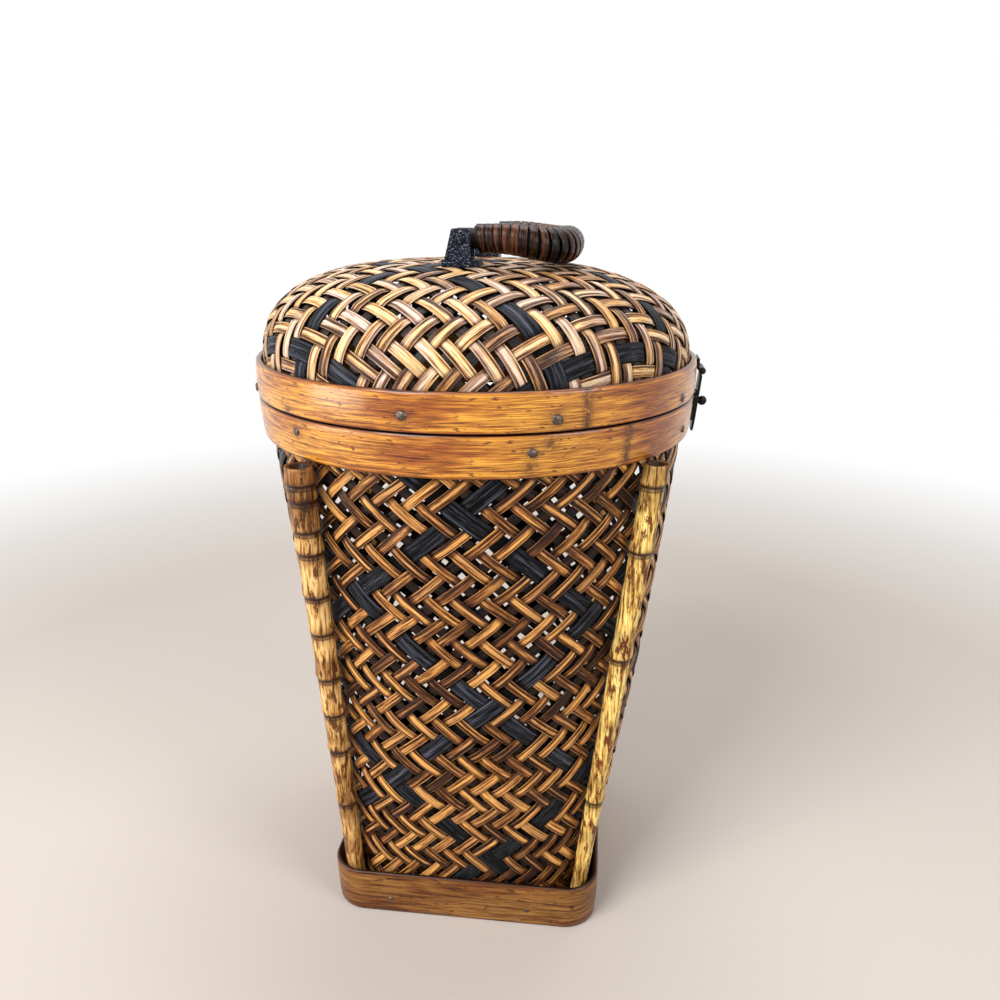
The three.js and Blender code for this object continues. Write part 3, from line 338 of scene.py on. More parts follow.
def new_object(name, data):
    """A linked object of that mesh, lamp or camera."""
    obj = bpy.data.objects.new(name, data)
    bpy.context.scene.collection.objects.link(obj)
    return obj


def outward(mesh):
    """Turns a closed mesh's faces outward and shades it smooth."""
    work = bmesh.new()
    work.from_mesh(mesh)
    bmesh.ops.recalc_face_normals(work, faces=work.faces)
    if work.calc_volume(signed=True) < 0:
        bmesh.ops.reverse_faces(work, faces=work.faces)
    for face in work.faces:
        face.smooth = True
    work.to_mesh(mesh)
    work.free()
    mesh.update()


def applied(obj):
    """Makes what an object's modifiers give its own plain mesh."""
    raw = obj.data
    bpy.context.view_layer.update()
    seen = obj.evaluated_get(bpy.context.evaluated_depsgraph_get())
    result = bpy.data.meshes.new_from_object(seen)
    obj.modifiers.clear()
    obj.data = result
    bpy.data.meshes.remove(raw)
    result.name = obj.name
    if not result.polygons:
        raise RuntimeError(obj.name + " came out empty")
    return result


def finish_piece(obj, body, slot, material, *nodes):
    """Gives a piece its material and its body, and hides the CAD nodes that it stands for. slot is not used.
    """
    obj.data.materials.clear()
    obj.data.materials.append(material)
    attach(obj, body)
    if nodes:
        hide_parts(*nodes)
    return obj


def set_values(mesh, name, values, kind="FLOAT"):
    """Stores one number, or one vector, for each vertex."""
    layer = mesh.attributes.new(name, kind, "POINT")
    field = "value" if kind == "FLOAT" else "vector"
    layer.data.foreach_set(field, np.asarray(values, np.float32).ravel())


def tube(name, rings, along, across, extras):
    """Closed mesh through rings of points, with its lengthwise and crosswise places stored."""
    count, sides, _ = rings.shape
    last = (count - 1) * sides
    faces = []
    for low in range(0, last, sides):
        high = low + sides
        for side in range(sides):
            following = (side + 1) % sides
            faces.append((low + side, low + following, high + following, high + side))
    faces.append(tuple(range(sides)))
    faces.append(tuple(reversed(range(last, last + sides))))
    mesh = bpy.data.meshes.new(name)
    mesh.from_pydata((rings.reshape(-1, 3) * MM).tolist(), [], faces)
    set_values(mesh, "along", np.repeat(np.asarray(along, float) * MM, sides))
    set_values(mesh, "across", np.tile(across, count))
    for key, values in extras.items():
        set_values(mesh, key, values if values.ndim == 2 else np.repeat(values, sides))
    outward(mesh)
    return mesh


def path_mesh(name, paths):
    """Mesh of plain chains. Each path is (points, normals, tone, scale, lift)."""
    edges = []
    columns = {"along": [], "tone": [], "scale": [], "lift": []}
    start = 0
    for points, _, tone, scale, lift in paths:
        count = len(points)
        edges.extend((start + k, start + k + 1) for k in range(count - 1))
        start += count
        steps = np.linalg.norm(np.diff(points, axis=0), axis=1)
        columns["along"].append(np.append(0, np.cumsum(steps)) * MM)
        for key, value in (("tone", tone), ("scale", scale), ("lift", lift)):
            columns[key].append(np.broadcast_to(value, (count,)))
    verts = np.concatenate([path[0] for path in paths]) * MM
    mesh = bpy.data.meshes.new(name)
    mesh.from_pydata(verts.tolist(), edges, [])
    set_values(mesh, "facing", np.concatenate([path[1] for path in paths]), "FLOAT_VECTOR")
    for key, values in columns.items():
        set_values(mesh, key, np.concatenate(values))
    return mesh


# Nodes


def add(tree, kind, inputs=None, **options):
    """A new node. inputs gives its sockets, by name or place, a value or another node's output."""
    node = tree.nodes.new(kind)
    for option, value in options.items():
        setattr(node, option, value)
    for key, value in (inputs or {}).items():
        if isinstance(value, bpy.types.NodeSocket):
            tree.links.new(value, node.inputs[key])
        else:
            node.inputs[key].default_value = value
    return node


def made(tree, kind, inputs=None, **options):
    """First output of a new node."""
    return add(tree, kind, inputs, **options).outputs[0]


def math_node(tree, operation, *values):
    """Output of a math node on sockets or numbers."""
    return made(tree, "ShaderNodeMath", dict(enumerate(values)), operation=operation)


def times(tree, first, second):
    """Product of two values."""
    return math_node(tree, "MULTIPLY", first, second)


def straight(tree, value, factor, shift):
    """A value times a factor, plus a shift."""
    return math_node(tree, "MULTIPLY_ADD", value, factor, shift)


# Geometry Nodes

NAIL_SQUASH = (1.0, 0.85, 0.5)
NAIL_SEGMENTS = 18
NAIL_RINGS = 10
BEATEN_SCALE = 420.0
BEATEN_REACH = (0.0011, 0.0011, 0.0006)


def new_tree(name, *sockets):
    """An empty modifier tree with named inputs."""
    tree = bpy.data.node_groups.new(name, "GeometryNodeTree")
    tree.is_modifier = True
    for label, kind in (("Geometry", "Geometry"), *sockets):
        tree.interface.new_socket(label, in_out="INPUT", socket_type="NodeSocket" + kind)
    tree.interface.new_socket("Geometry", in_out="OUTPUT", socket_type="NodeSocketGeometry")
    return tree, tree.nodes.new("NodeGroupInput").outputs, tree.nodes.new("NodeGroupOutput").inputs


def rounded_axis(tree, value, size, power):
    """A circle's coordinate pushed out to a rounded rectangle's."""
    raised = math_node(tree, "POWER", math_node(tree, "ABSOLUTE", value), power)
    signed = times(tree, raised, math_node(tree, "SIGN", value))
    return times(tree, signed, times(tree, size, 0.5))


def stored(tree, name, kind="FLOAT"):
    """Value stored on the geometry under that name."""
    node = add(tree, "GeometryNodeInputNamedAttribute", {"Name": name}, data_type=kind)
    return node.outputs["Attribute"]


def close_tree(tree, geometry, given, result):
    """Ends a tree with real geometry in its material."""
    real = made(tree, "GeometryNodeRealizeInstances", {0: geometry})
    finished = {"Geometry": real, "Material": given["Material"]}
    tree.links.new(made(tree, "GeometryNodeSetMaterial", finished), result[0])


def strip_tree():
    """Tree that turns each chain of points into a flat strip with rounded edges and fine grooves."""
    numbers = [(label, "Float") for label in ("Width", "Thickness", "Groove", "Roundness")]
    tree, given, result = new_tree("Flat strips", *numbers, ("Sides", "Int"), ("Material", "Material"))
    chain = made(tree, "GeometryNodeMeshToCurve", {0: given["Geometry"]})
    facing = {"Curve": chain, "Normal": stored(tree, "facing", "FLOAT_VECTOR")}
    turned = made(tree, "GeometryNodeSetCurveNormal", facing, mode="FREE")
    sized = {"Curve": turned, "Radius": stored(tree, "scale")}
    rail = made(tree, "GeometryNodeSetCurveRadius", sized)
    circle = {"Radius": 1.0, "Resolution": given["Sides"]}
    profile = made(tree, "GeometryNodeCurvePrimitiveCircle", circle)
    parts = add(tree, "ShaderNodeSeparateXYZ", {0: made(tree, "GeometryNodeInputPosition")}).outputs
    for name, value in (("across", parts[1]), ("outer", parts[0])):
        place = {"Name": name, "Geometry": profile, "Value": value}
        profile = made(tree, "GeometryNodeStoreNamedAttribute", place, data_type="FLOAT", domain="POINT")
    # Every second point of the section lies in a groove.
    odd = math_node(tree, "MODULO", made(tree, "GeometryNodeInputIndex"), 2.0)
    lowered = math_node(tree, "SUBTRACT", 1.0, times(tree, odd, given["Groove"]))
    depth = times(tree, given["Thickness"], lowered)
    x = rounded_axis(tree, parts[0], depth, given["Roundness"])
    y = rounded_axis(tree, parts[1], given["Width"], given["Roundness"])
    section = {"Geometry": profile, "Position": made(tree, "ShaderNodeCombineXYZ", {0: x, 1: y})}
    shaped = made(tree, "GeometryNodeSetPosition", section)
    sweep = {"Curve": rail, "Profile Curve": shaped, "Fill Caps": True}
    close_tree(tree, made(tree, "GeometryNodeCurveToMesh", sweep), given, result)
    return tree


def nail_tree():
    """Tree that sets one domed nail head on each point, facing outward."""
    tree, given, result = new_tree("Domed nails", ("Radius", "Float"), ("Material", "Material"))
    points = made(tree, "GeometryNodeMeshToPoints", {0: given["Geometry"]})
    facing = {"Vector": stored(tree, "facing", "FLOAT_VECTOR")}
    turned = made(tree, "FunctionNodeAlignRotationToVector", facing, axis="Z")
    ball = {"Segments": NAIL_SEGMENTS, "Rings": NAIL_RINGS, "Radius": given["Radius"]}
    head = made(tree, "GeometryNodeMeshUVSphere", ball)
    squat = made(tree, "GeometryNodeTransform", {0: head, "Scale": NAIL_SQUASH})
    places = {"Points": points, "Instance": squat, "Rotation": turned, "Scale": stored(tree, "scale")}
    heads = made(tree, "GeometryNodeInstanceOnPoints", places)
    real = made(tree, "GeometryNodeRealizeInstances", {0: heads})
    # A hammered head is nowhere quite round.
    beaten = add(tree, "ShaderNodeTexNoise", {"Scale": BEATEN_SCALE}).outputs["Color"]
    about = {0: beaten, 1: BEATEN_REACH, 2: tuple(-reach / 2 for reach in BEATEN_REACH)}
    shift = made(tree, "ShaderNodeVectorMath", about, operation="MULTIPLY_ADD")
    moved = made(tree, "GeometryNodeSetPosition", {"Geometry": real, "Offset": shift})
    close_tree(tree, moved, given, result)
    return tree


def through_tree(name, mesh, tree, values):
    """Plain object of a mesh taken through a tree. values go to the tree's inputs by name."""
    obj = new_object(name, mesh)
    modifier = obj.modifiers.new(tree.name, "NODES")
    modifier.node_group = tree
    for item in tree.interface.items_tree:
        if item.in_out == "INPUT" and item.name in values:
            modifier[item.identifier] = values[item.name]
    outward(applied(obj))
    return obj


# Materials

WHITE = (1.0, 1.0, 1.0)
BLACK = (0.0, 0.0, 0.0)


def ramp(tree, value, stops):
    """Colour of a value through a ramp of (position, colour) stops."""
    node = add(tree, "ShaderNodeValToRGB", {0: value})
    elements = node.color_ramp.elements
    for place in (0, -1):
        elements[place].position = stops[place][0]
        elements[place].color = (*stops[place][1], 1)
    for position, colour in stops[1:-1]:
        elements.new(position).color = (*colour, 1)
    return node.outputs[0]


def mix(tree, kind, share, first, second):
    """Blend of two colours."""
    values = {0: share, 6: first, 7: second}
    for place, value in values.items():
        if isinstance(value, tuple):
            values[place] = (*value, 1)
    return add(tree, "ShaderNodeMix", values, data_type="RGBA", blend_type=kind).outputs[2]


def shaded(tree, colour, value, stops):
    """A colour times the ramp of a value."""
    return mix(tree, "MULTIPLY", 1.0, colour, ramp(tree, value, stops))


def attribute(tree, name):
    """Number stored on the mesh under that name."""
    return add(tree, "ShaderNodeAttribute", attribute_name=name).outputs["Fac"]


def noise(tree, vector, detail=3.0, roughness=0.5):
    """Noise over a vector."""
    inputs = {"Scale": 1.0, "Detail": detail, "Roughness": roughness, "Vector": vector}
    return add(tree, "ShaderNodeTexNoise", inputs).outputs["Fac"]


def lengthwise(tree, across_scale, along_scale, seed, detail=3.0, roughness=0.5):
    """Noise that is drawn out along a strip. Scales are per unit across and per metre along."""
    across = times(tree, attribute(tree, "across"), across_scale)
    along = times(tree, attribute(tree, "along"), along_scale)
    place = made(tree, "ShaderNodeCombineXYZ", {0: across, 1: along, 2: seed})
    return noise(tree, place, detail, roughness)


def in_place(tree, scales, detail=3.0, roughness=0.5):
    """Noise in the object's own place, with its scale per metre on each axis."""
    place = add(tree, "ShaderNodeTexCoord").outputs["Object"]
    spread = made(tree, "ShaderNodeVectorMath", {0: place, 1: scales}, operation="MULTIPLY")
    return noise(tree, spread, detail, roughness)


def mean_of(tree, first, second, share):
    """Weighted mean of two values. share is the second one's."""
    return straight(tree, second, share, times(tree, first, 1.0 - share))


def scaled(colour, share):
    """A colour times a number, or times one number for each channel."""
    shares = share if isinstance(share, tuple) else (share, share, share)
    return tuple(min(1.0, channel * part) for channel, part in zip(colour, shares))


def stops_of(colour, stops):
    """Ramp stops from (position, share of the colour)."""
    return tuple((position, scaled(colour, share)) for position, share in stops)


def new_material(name, roughness, specular, coat=0.0, coat_roughness=0.2, metallic=0.0):
    """Tree and shader of a new material."""
    material = bpy.data.materials.new(name)
    material.use_nodes = True
    shader = material.node_tree.nodes["Principled BSDF"]
    shader.inputs["Roughness"].default_value = roughness
    shader.inputs["Specular IOR Level"].default_value = specular
    shader.inputs["Coat Weight"].default_value = coat
    shader.inputs["Coat Roughness"].default_value = coat_roughness
    shader.inputs["Metallic"].default_value = metallic
    return material.node_tree, shader


def surface(tree, shader, colour, height, strength, distance):
    """Gives a shader its colour, and raises its surface by a height."""
    tree.links.new(colour, shader.inputs["Base Color"])
    raised = {"Strength": strength, "Distance": distance, "Height": height}
    tree.links.new(made(tree, "ShaderNodeBump", raised), shader.inputs["Normal"])


# Painted shade darkens a strip where it dips under the others, along its edges where they meet the gaps, and
# on its inner face inside the basket.
PAINTED_CREVICE_SHADE = ((0.10, (0.03, 0.02, 0.02)), (0.34, (0.36, 0.28, 0.24)), (0.52, WHITE))
PAINTED_EDGE_SHADE = ((0.82, WHITE), (0.97, (0.12, 0.07, 0.05)))
PAINTED_INNER_SHADE = ((0.30, (0.13, 0.11, 0.10)), (0.55, WHITE))
HAIR_LINE = ((0.0, (0.85, 0.85, 0.85)), (0.032, BLACK))
# Patches of weathered cane, on the lid partly painted reflection of the room.
WEATHERING_AND_REFLECTION = ((0.42, BLACK), (0.60, WHITE))
STREAK_CONTRAST = 1.5
# Shares of the cosine across a strip, painted shade in its grooves, and of a strip's own tone in its shade.
GROOVE_SHADE_SHARE = 0.06
TONE_SHARE = 0.10
# A strip's tone also picks its place in each noise.
GRAIN_SEED = 37.0
PATCH_SEED = 91.0
HAIR_SEED = 53.0

# Split bamboo and culms: ramps in shares of the colour, then plain ones.
BAMBOO_GRAIN = (
    (0.37, (0.12, 0.07, 0.06)), (0.44, (0.62, 0.50, 0.38)),
    (0.50, 1.0), (0.58, (1.50, 1.85, 2.1)),
)
CULM_GRAIN = (
    (0.37, (0.10, 0.05, 0.04)), (0.44, (0.56, 0.46, 0.36)),
    (0.50, 1.0), (0.58, (1.35, 1.6, 2.1)),
)
# Dark brown of the grain's lines, specks, knots and nails, and of the painted shade where the hoops meet.
MARK_AND_SEAM_SHADE = (0.11, 0.06, 0.08)
BAMBOO_STAIN = ((0.36, (0.50, 0.30, 0.20)), (0.50, (0.93, 0.85, 0.78)), (0.62, WHITE))
BAMBOO_EDGE = ((0.84, WHITE), (0.94, (0.60, 0.44, 0.36)), (1.0, (0.09, 0.05, 0.04)))
SPECKS = ((0.61, BLACK), (0.67, WHITE))
RAGGED = ((0.38, (0.2, 0.2, 0.2)), (0.52, WHITE))
CULM_CAST = ((0.40, (0.46, 0.36, 0.28)), (0.52, (1.0, 0.96, 0.9)), (0.62, WHITE))
# Dark brown of the dirt at the knots, and of the painted shade over the posts' tops.
GRIME_AND_SHADE = (0.30, 0.17, 0.10)
CORE_GRAIN = ((0.35, (0.003, 0.002, 0.002)), (0.65, (0.016, 0.008, 0.005)))

# Rattan: worn and weathered cane of the wall and of the lid, and the dyed strips, in shares of
# their colours, and the handle's peel in plain ones. The cane's top stops are painted highlights
# along its fibres, over its own streaks, and its darkest stops are partly painted shade in the grooves.
WALL_BRIGHT = (
    (0.38, (0.04, 0.03, 0.05)), (0.455, (0.40, 0.34, 0.33)),
    (0.52, 1.0), (0.60, (1.70, 2.2, 2.7)),
)
WALL_DULL = (
    (0.39, (0.03, 0.022, 0.04)), (0.47, (0.22, 0.18, 0.22)),
    (0.54, (0.56, 0.50, 0.60)), (0.62, (1.2, 1.5, 2.2)),
)
LID_BRIGHT = (
    (0.37, (0.10, 0.08, 0.14)), (0.43, (0.80, 0.85, 1.0)),
    (0.50, (1.45, 1.85, 2.5)), (0.60, (1.85, 3.4, 7.5)),
)
# Greyish pink of the lid: partly weathered cane and partly painted reflection of the room.
LID_DULL = (
    (0.38, (0.09, 0.09, 0.25)), (0.45, (0.60, 0.78, 1.9)),
    (0.52, (1.05, 1.65, 5.0)), (0.62, (1.7, 3.3, 12.0)),
)
# Dyed strips: the dye at the lowest stops, and blue-grey painted highlights along the fibres at the top ones.
DYED_WITH_GLINTS = ((0.36, 0.1), (0.54, 0.5), (0.63, (4.0, 4.2, 4.6)), (0.75, (22.0, 23.0, 26.0)))
# Peel: near black, and red-brown at the top stop, partly wear and partly painted highlight.
PEEL = ((0.38, (0.001, 0.001, 0.001)), (0.53, (0.011, 0.004, 0.002)), (0.68, (0.12, 0.038, 0.015)))


def hair_lines(tree, strand):
    """Thin lines where a noise passes its middle."""
    return ramp(tree, math_node(tree, "ABSOLUTE", math_node(tree, "SUBTRACT", strand, 0.5)), HAIR_LINE)


def fibre_material(name, bright, dull, hair, roughness, specular, coat=0.0, ribs=1.0, fine=4.4, depth=0.0008):
    """Split cane: fibres run along the piece, and tone changes from strip to strip and along each.

    bright and dull are the ramps of worn and of weathered cane; their top stops are painted
    highlights along the fibres, and on the lid dull is partly painted reflection of the room. hair is
    the colour of the lines between fibres. ribs is the count of the strip's grooves in a turn of the
    cosine across it, which darkens them as painted shade, and fine the scale of its fibres. The
    colour is darkened with painted shade under the crossings, along the edges and on the inner face.
    """
    tree, shader = new_material(name, roughness, specular, coat)
    tone = attribute(tree, "tone")
    across = attribute(tree, "across")
    seed = times(tree, tone, GRAIN_SEED)
    broad = lengthwise(tree, fine * 0.35, 10.0, seed, 2.0)
    thin = lengthwise(tree, fine, 48.0, seed, 4.0, 0.7)
    # Painted shade: the cosine across the strip darkens its grooves.
    groove_shade = math_node(tree, "COSINE", times(tree, across, ribs * TURN))
    ridged = straight(tree, groove_shade, GROOVE_SHADE_SHARE, mean_of(tree, broad, thin, 0.55))
    shade = straight(tree, math_node(tree, "SUBTRACT", tone, 0.5), TONE_SHARE, ridged)
    shade = straight(tree, shade, STREAK_CONTRAST, 0.5 - 0.5 * STREAK_CONTRAST)
    patches = lengthwise(tree, 0.5, 26.0, times(tree, tone, PATCH_SEED), 2.0)
    # The patches pick weathered cane; on the lid that is partly painted reflection of the room.
    weathering_and_reflection = ramp(tree, patches, WEATHERING_AND_REFLECTION)
    colour = mix(tree, "MIX", weathering_and_reflection, ramp(tree, shade, bright), ramp(tree, shade, dull))
    strand = lengthwise(tree, fine * 1.25, 22.0, times(tree, tone, HAIR_SEED), 2.0)
    colour = mix(tree, "MIX", hair_lines(tree, strand), colour, hair)
    # Painted shade: under the crossings, along the edges and on the inner face.
    colour = shaded(tree, colour, straight(tree, attribute(tree, "lift"), 0.5, 0.5), PAINTED_CREVICE_SHADE)
    colour = shaded(tree, colour, math_node(tree, "ABSOLUTE", across), PAINTED_EDGE_SHADE)
    colour = shaded(tree, colour, straight(tree, attribute(tree, "outer"), 0.5, 0.5), PAINTED_INNER_SHADE)
    surface(tree, shader, colour, shade, 0.9, depth)


def bamboo_material(name, colour, roughness, coat):
    """Split bamboo of the hoops: long thin grain, brown streaks, specks, dark edges, and painted shade along
    the edge where the hoops meet.
    """
    tree, shader = new_material(name, roughness, 0.2, coat)
    broad = lengthwise(tree, 8.0, 24.0, 0.0, 4.0, 0.65)
    thin = lengthwise(tree, 22.0, 70.0, 3.0, 3.0, 0.6)
    grain = mean_of(tree, broad, thin, 0.45)
    base = ramp(tree, grain, stops_of(colour, BAMBOO_GRAIN))
    shown = shaded(tree, base, lengthwise(tree, 0.9, 15.0, 4.0), BAMBOO_STAIN)
    strand = lengthwise(tree, 13.0, 9.0, 6.0, 3.0, 0.6)
    specks = lengthwise(tree, 5.0, 150.0, 8.0, 3.0, 0.6)
    ragged = ramp(tree, lengthwise(tree, 3.5, 260.0, 5.0, 4.0, 0.7), RAGGED)
    marks_and_seam_shade = (
        (hair_lines(tree, strand), 0.6),
        (ramp(tree, specks, SPECKS), 0.8),
        (times(tree, attribute(tree, "knot"), ragged), 0.95),
        (times(tree, attribute(tree, "halo"), ragged), 0.9),
        # Painted shade along the edge where the hoops meet.
        (attribute(tree, "seam_shade"), 0.96),
    )
    for share, most in marks_and_seam_shade:
        shown = mix(tree, "MIX", times(tree, share, most), shown, scaled(colour, MARK_AND_SEAM_SHADE))
    shown = shaded(tree, shown, math_node(tree, "ABSOLUTE", attribute(tree, "across")), BAMBOO_EDGE)
    surface(tree, shader, shown, grain, 0.7, 0.0003)


def culm_material(name, colour, ring_colour, blotch_colour, blotch_from, grime_and_shade):
    """Bamboo culm: skin with upright grain, dark rings at the knots, blotches and dirt, with painted shade
    over the top under the rim hoop and in the hollow.
    """
    tree, shader = new_material(name, 0.38, 0.18, 0.15, 0.18)
    grain = in_place(tree, (520.0, 520.0, 45.0), 4.0, 0.7)
    spots = in_place(tree, (210.0, 210.0, 60.0), 5.0, 0.7)
    base = ramp(tree, grain, stops_of(colour, CULM_GRAIN))
    blotch = ramp(tree, spots, ((blotch_from, BLACK), (blotch_from + 0.05, WHITE)))
    shown = mix(tree, "MIX", blotch, base, blotch_colour)
    cast = ramp(tree, in_place(tree, (14.0, 14.0, 42.0), 1.0), CULM_CAST)
    shown = mix(tree, "MULTIPLY", 0.35 + 0.6 * grime_and_shade, shown, cast)
    # Dirt at the knots, and painted shade over the top under the rim hoop.
    shown = mix(tree, "MULTIPLY", times(tree, attribute(tree, "grime_and_shade"), grime_and_shade), shown, GRIME_AND_SHADE)
    shown = mix(tree, "MIX", attribute(tree, "knot"), shown, ring_colour)
    surface(tree, shader, shown, mean_of(tree, grain, spots, 0.5), 0.6, 0.0006)


def iron_material(name, colour, speckle, share, metallic, roughness):
    """Painted or bare iron with a fine uneven skin. share is how much of it the speckles cover."""
    tree, shader = new_material(name, roughness, 0.1, metallic=metallic)
    grit = in_place(tree, (1100.0, 1100.0, 1100.0), 3.0, 0.65)
    wear = ramp(tree, grit, ((0.62 - share, colour), (0.70 - share, speckle)))
    surface(tree, shader, wear, grit, 0.6, 0.0004)


def core_finish(name, settings):
    """Dark stained wood of the bail's core."""
    tree, shader = new_material(name, 0.6, 0.2)
    grain = ramp(tree, in_place(tree, (160.0, 160.0, 160.0)), CORE_GRAIN)
    tree.links.new(grain, shader.inputs["Base Color"])


def rattan_finish(name, settings):
    """Wall and floor: brown and golden cane, nearly black in its grooves with painted shade, and with painted
    highlights along its fibres.
    """
    bright = stops_of(settings.rattan_colour, WALL_BRIGHT)
    dull = stops_of(settings.rattan_colour, WALL_DULL)
    fibre_material(name, bright, dull, (0.030, 0.010, 0.005), roughness=0.38, specular=0.14, coat=0.1)


def lid_finish(name, settings):
    """Lid: paler; its greyish pink between golden lengths is partly weathered cane and partly painted
    reflection of the room.
    """
    bright = stops_of(settings.rattan_colour, LID_BRIGHT)
    dull = stops_of(settings.rattan_colour, LID_DULL)
    fibre_material(name, bright, dull, (0.060, 0.026, 0.016), roughness=0.38, specular=0.16, coat=0.1)


def dark_finish(name, settings):
    """Dyed strips: black, with fine blue-grey lines that are painted highlights."""
    stops = stops_of(settings.dark_colour, DYED_WITH_GLINTS)
    ribbed = {"ribs": 1.65, "fine": 9.0, "depth": 0.0010}
    # The light lines between fibres are painted highlights as well.
    fibre_material(name, stops, stops, (0.085, 0.092, 0.11), roughness=0.42, specular=0.07, **ribbed)


def wrap_finish(name, settings):
    """The handle's winding: glossy dark peel, red-brown where it is worn and where highlights are painted."""
    smooth_peel = {"ribs": 0.4, "fine": 2.6, "depth": 0.0004}
    fibre_material(name, PEEL, PEEL, (0.001, 0.001, 0.001), roughness=0.24, specular=0.16, **smooth_peel)


def hoop_finish(name, settings):
    """Rim and lid hoops: varnished golden bamboo."""
    bamboo_material(name, tuple(settings.hoop_colour), roughness=0.34, coat=0.6)


def base_finish(name, settings):
    """Base hoops: darker and browner."""
    bamboo_material(name, scaled(settings.hoop_colour, (0.42, 0.42, 0.75)), roughness=0.42, coat=0.25)


def slat_finish(name, settings):
    """Inner hoops and slats: bare bamboo."""
    bamboo_material(name, scaled(settings.hoop_colour, (0.36, 0.38, 0.6)), roughness=0.5, coat=0.1)


def post_finish(name, settings):
    """Two of the posts: weathered brown culms."""
    skin = scaled(settings.post_colour, (1.35, 1.35, 1.3))
    blotches = scaled(skin, (0.22, 0.14, 0.10))
    culm_material(name, skin, (0.022, 0.007, 0.004), blotches, blotch_from=0.545, grime_and_shade=0.9)


def pale_finish(name, settings):
    """The other two posts: cream culms with red-brown blotches."""
    skin = scaled(settings.post_colour, (1.5, 1.65, 1.3))
    culm_material(name, skin, (0.030, 0.010, 0.005), (0.17, 0.045, 0.010), blotch_from=0.54, grime_and_shade=0.6)


def painted_finish(name, settings):
    """Brackets and their rivets: black paint with a blue cast and light flecks."""
    black = tuple(settings.iron_colour)
    iron_material(name, black, (0.26, 0.27, 0.34), share=0.05, metallic=0.0, roughness=0.36)


def bare_finish(name, settings):
    """Hasp, knob and hinge: dark bare iron."""
    dark = (0.016, 0.014, 0.013)
    iron_material(name, dark, (0.13, 0.12, 0.11), share=0.0, metallic=0.75, roughness=0.3)


def nail_finish(name, settings):
    """Nail heads: worn iron, brighter than the rest."""
    worn = (0.10, 0.075, 0.06)
    iron_material(name, worn, (0.42, 0.38, 0.34), share=0.03, metallic=0.85, roughness=0.24)


FINISHES = {
    "rattan strips": rattan_finish,
    "lid rattan strips": lid_finish,
    "dark rattan strips": dark_finish,
    "dark rattan peel": wrap_finish,
    "hoop bamboo": hoop_finish,
    "base hoop bamboo": base_finish,
    "slat bamboo": slat_finish,
    "post bamboo": post_finish,
    "pale post bamboo": pale_finish,
    "painted iron": painted_finish,
    "dark iron": bare_finish,
    "nail iron": nail_finish,
    "core wood": core_finish,
}


def finish_of(name, settings):
    """The finish of that name, made when it is first asked for."""
    if name not in bpy.data.materials:
        FINISHES[name](name, settings)
    return bpy.data.materials[name]


# Woven pieces

TWILL_LEVEL = 0.35
TWILL_BOW = 0.45
# Over two strips and under two
TWILL = 4
STEPS_PER_CROSSING = 3.6
WANDER = 0.10
FEWEST_POINTS = 6
GROOVE_DEPTH = 0.3
STRIP_ROUNDNESS = 0.55
TAN_SIDES = 12
DARK_SIDES = 20
RISING_SEED = 11
FALLING_SEED = 12
FLOOR_SEED = 21
LID_SEED = 31


def over(places):
    """1 where a twilled strip lies over and -1 where it lies under, at whole places along it."""
    return np.where(np.mod(places, TWILL) < TWILL / 2, 1.0, -1.0)


def half_widths(settings, crossing):
    """Half the widths of a tan and of a dark strip, counted in crossings that long."""
    return settings.strip_width / MM / 2 / crossing, settings.dark_width / MM / 2 / crossing


def twill_profile(rows, signs, halves, phase):
    """Offset of a strip from the middle of the weave. rows are its places counted in crossings.

    signs and halves give, for each whole row, whether the strip lies over (1) or under (-1) and
    half the width of the strip that it crosses, counted in crossings. phase is the sine's own.
    """
    low = np.floor(rows).astype(int)
    before = signs(low)
    after = signs(low + 1)
    step = smooth(halves(low), 1 - halves(low + 1), rows - low)
    return (before + (after - before) * step) * TWILL_LEVEL + phase * TWILL_BOW


def wander(rng, rows):
    """A strip's small wandering off its line."""
    waves = rng.uniform(0.02, 0.11, 3)
    starts = rng.uniform(0, TURN, 3)
    return sum(np.sin(TURN * wave * rows + start) for wave, start in zip(waves, starts)) * WANDER / 3


def wall_paths(settings, rising, wanted):
    """Paths of the wall's strips of one direction whose numbers are wanted."""
    pitch = settings.row_pitch / MM
    tan_half, dark_half = half_widths(settings, math.hypot(pitch, WALL_GIRTH / WALL_STRIPS / 2))
    others = np.array(sorted(k % WALL_STRIPS for k in (DARK_FALLING if rising else DARK_RISING)))
    rows = np.arange((WALL_LOW - FIRST_ROW) / pitch, (WALL_HIGH - FIRST_ROW) / pitch, 1 / STEPS_PER_CROSSING)
    z = FIRST_ROW + pitch * rows
    rng = np.random.default_rng(RISING_SEED if rising else FALLING_SEED)
    side = 1 if rising else -1
    wave = -side * np.cos(TURN * (rows - 0.5) / TWILL)
    paths = []
    for strip in range(WALL_STRIPS):
        tone = rng.uniform(0, 1)
        drift = wander(rng, rows)
        if strip not in wanted:
            continue

        def signs(row):
            return over(row) * -side

        def halves(row, strip=strip):
            crossed = np.mod(strip + side * row, WALL_STRIPS)
            return np.where(np.isin(crossed, others), dark_half, tan_half)

        offset = twill_profile(rows, signs, halves, wave)
        share = (strip + side * rows / 2 + drift) / WALL_STRIPS
        points, normals = wall_points(share, z, WALL_MIDDLE + offset)
        paths.append((points, normals, tone, 1.0, offset))
    return paths


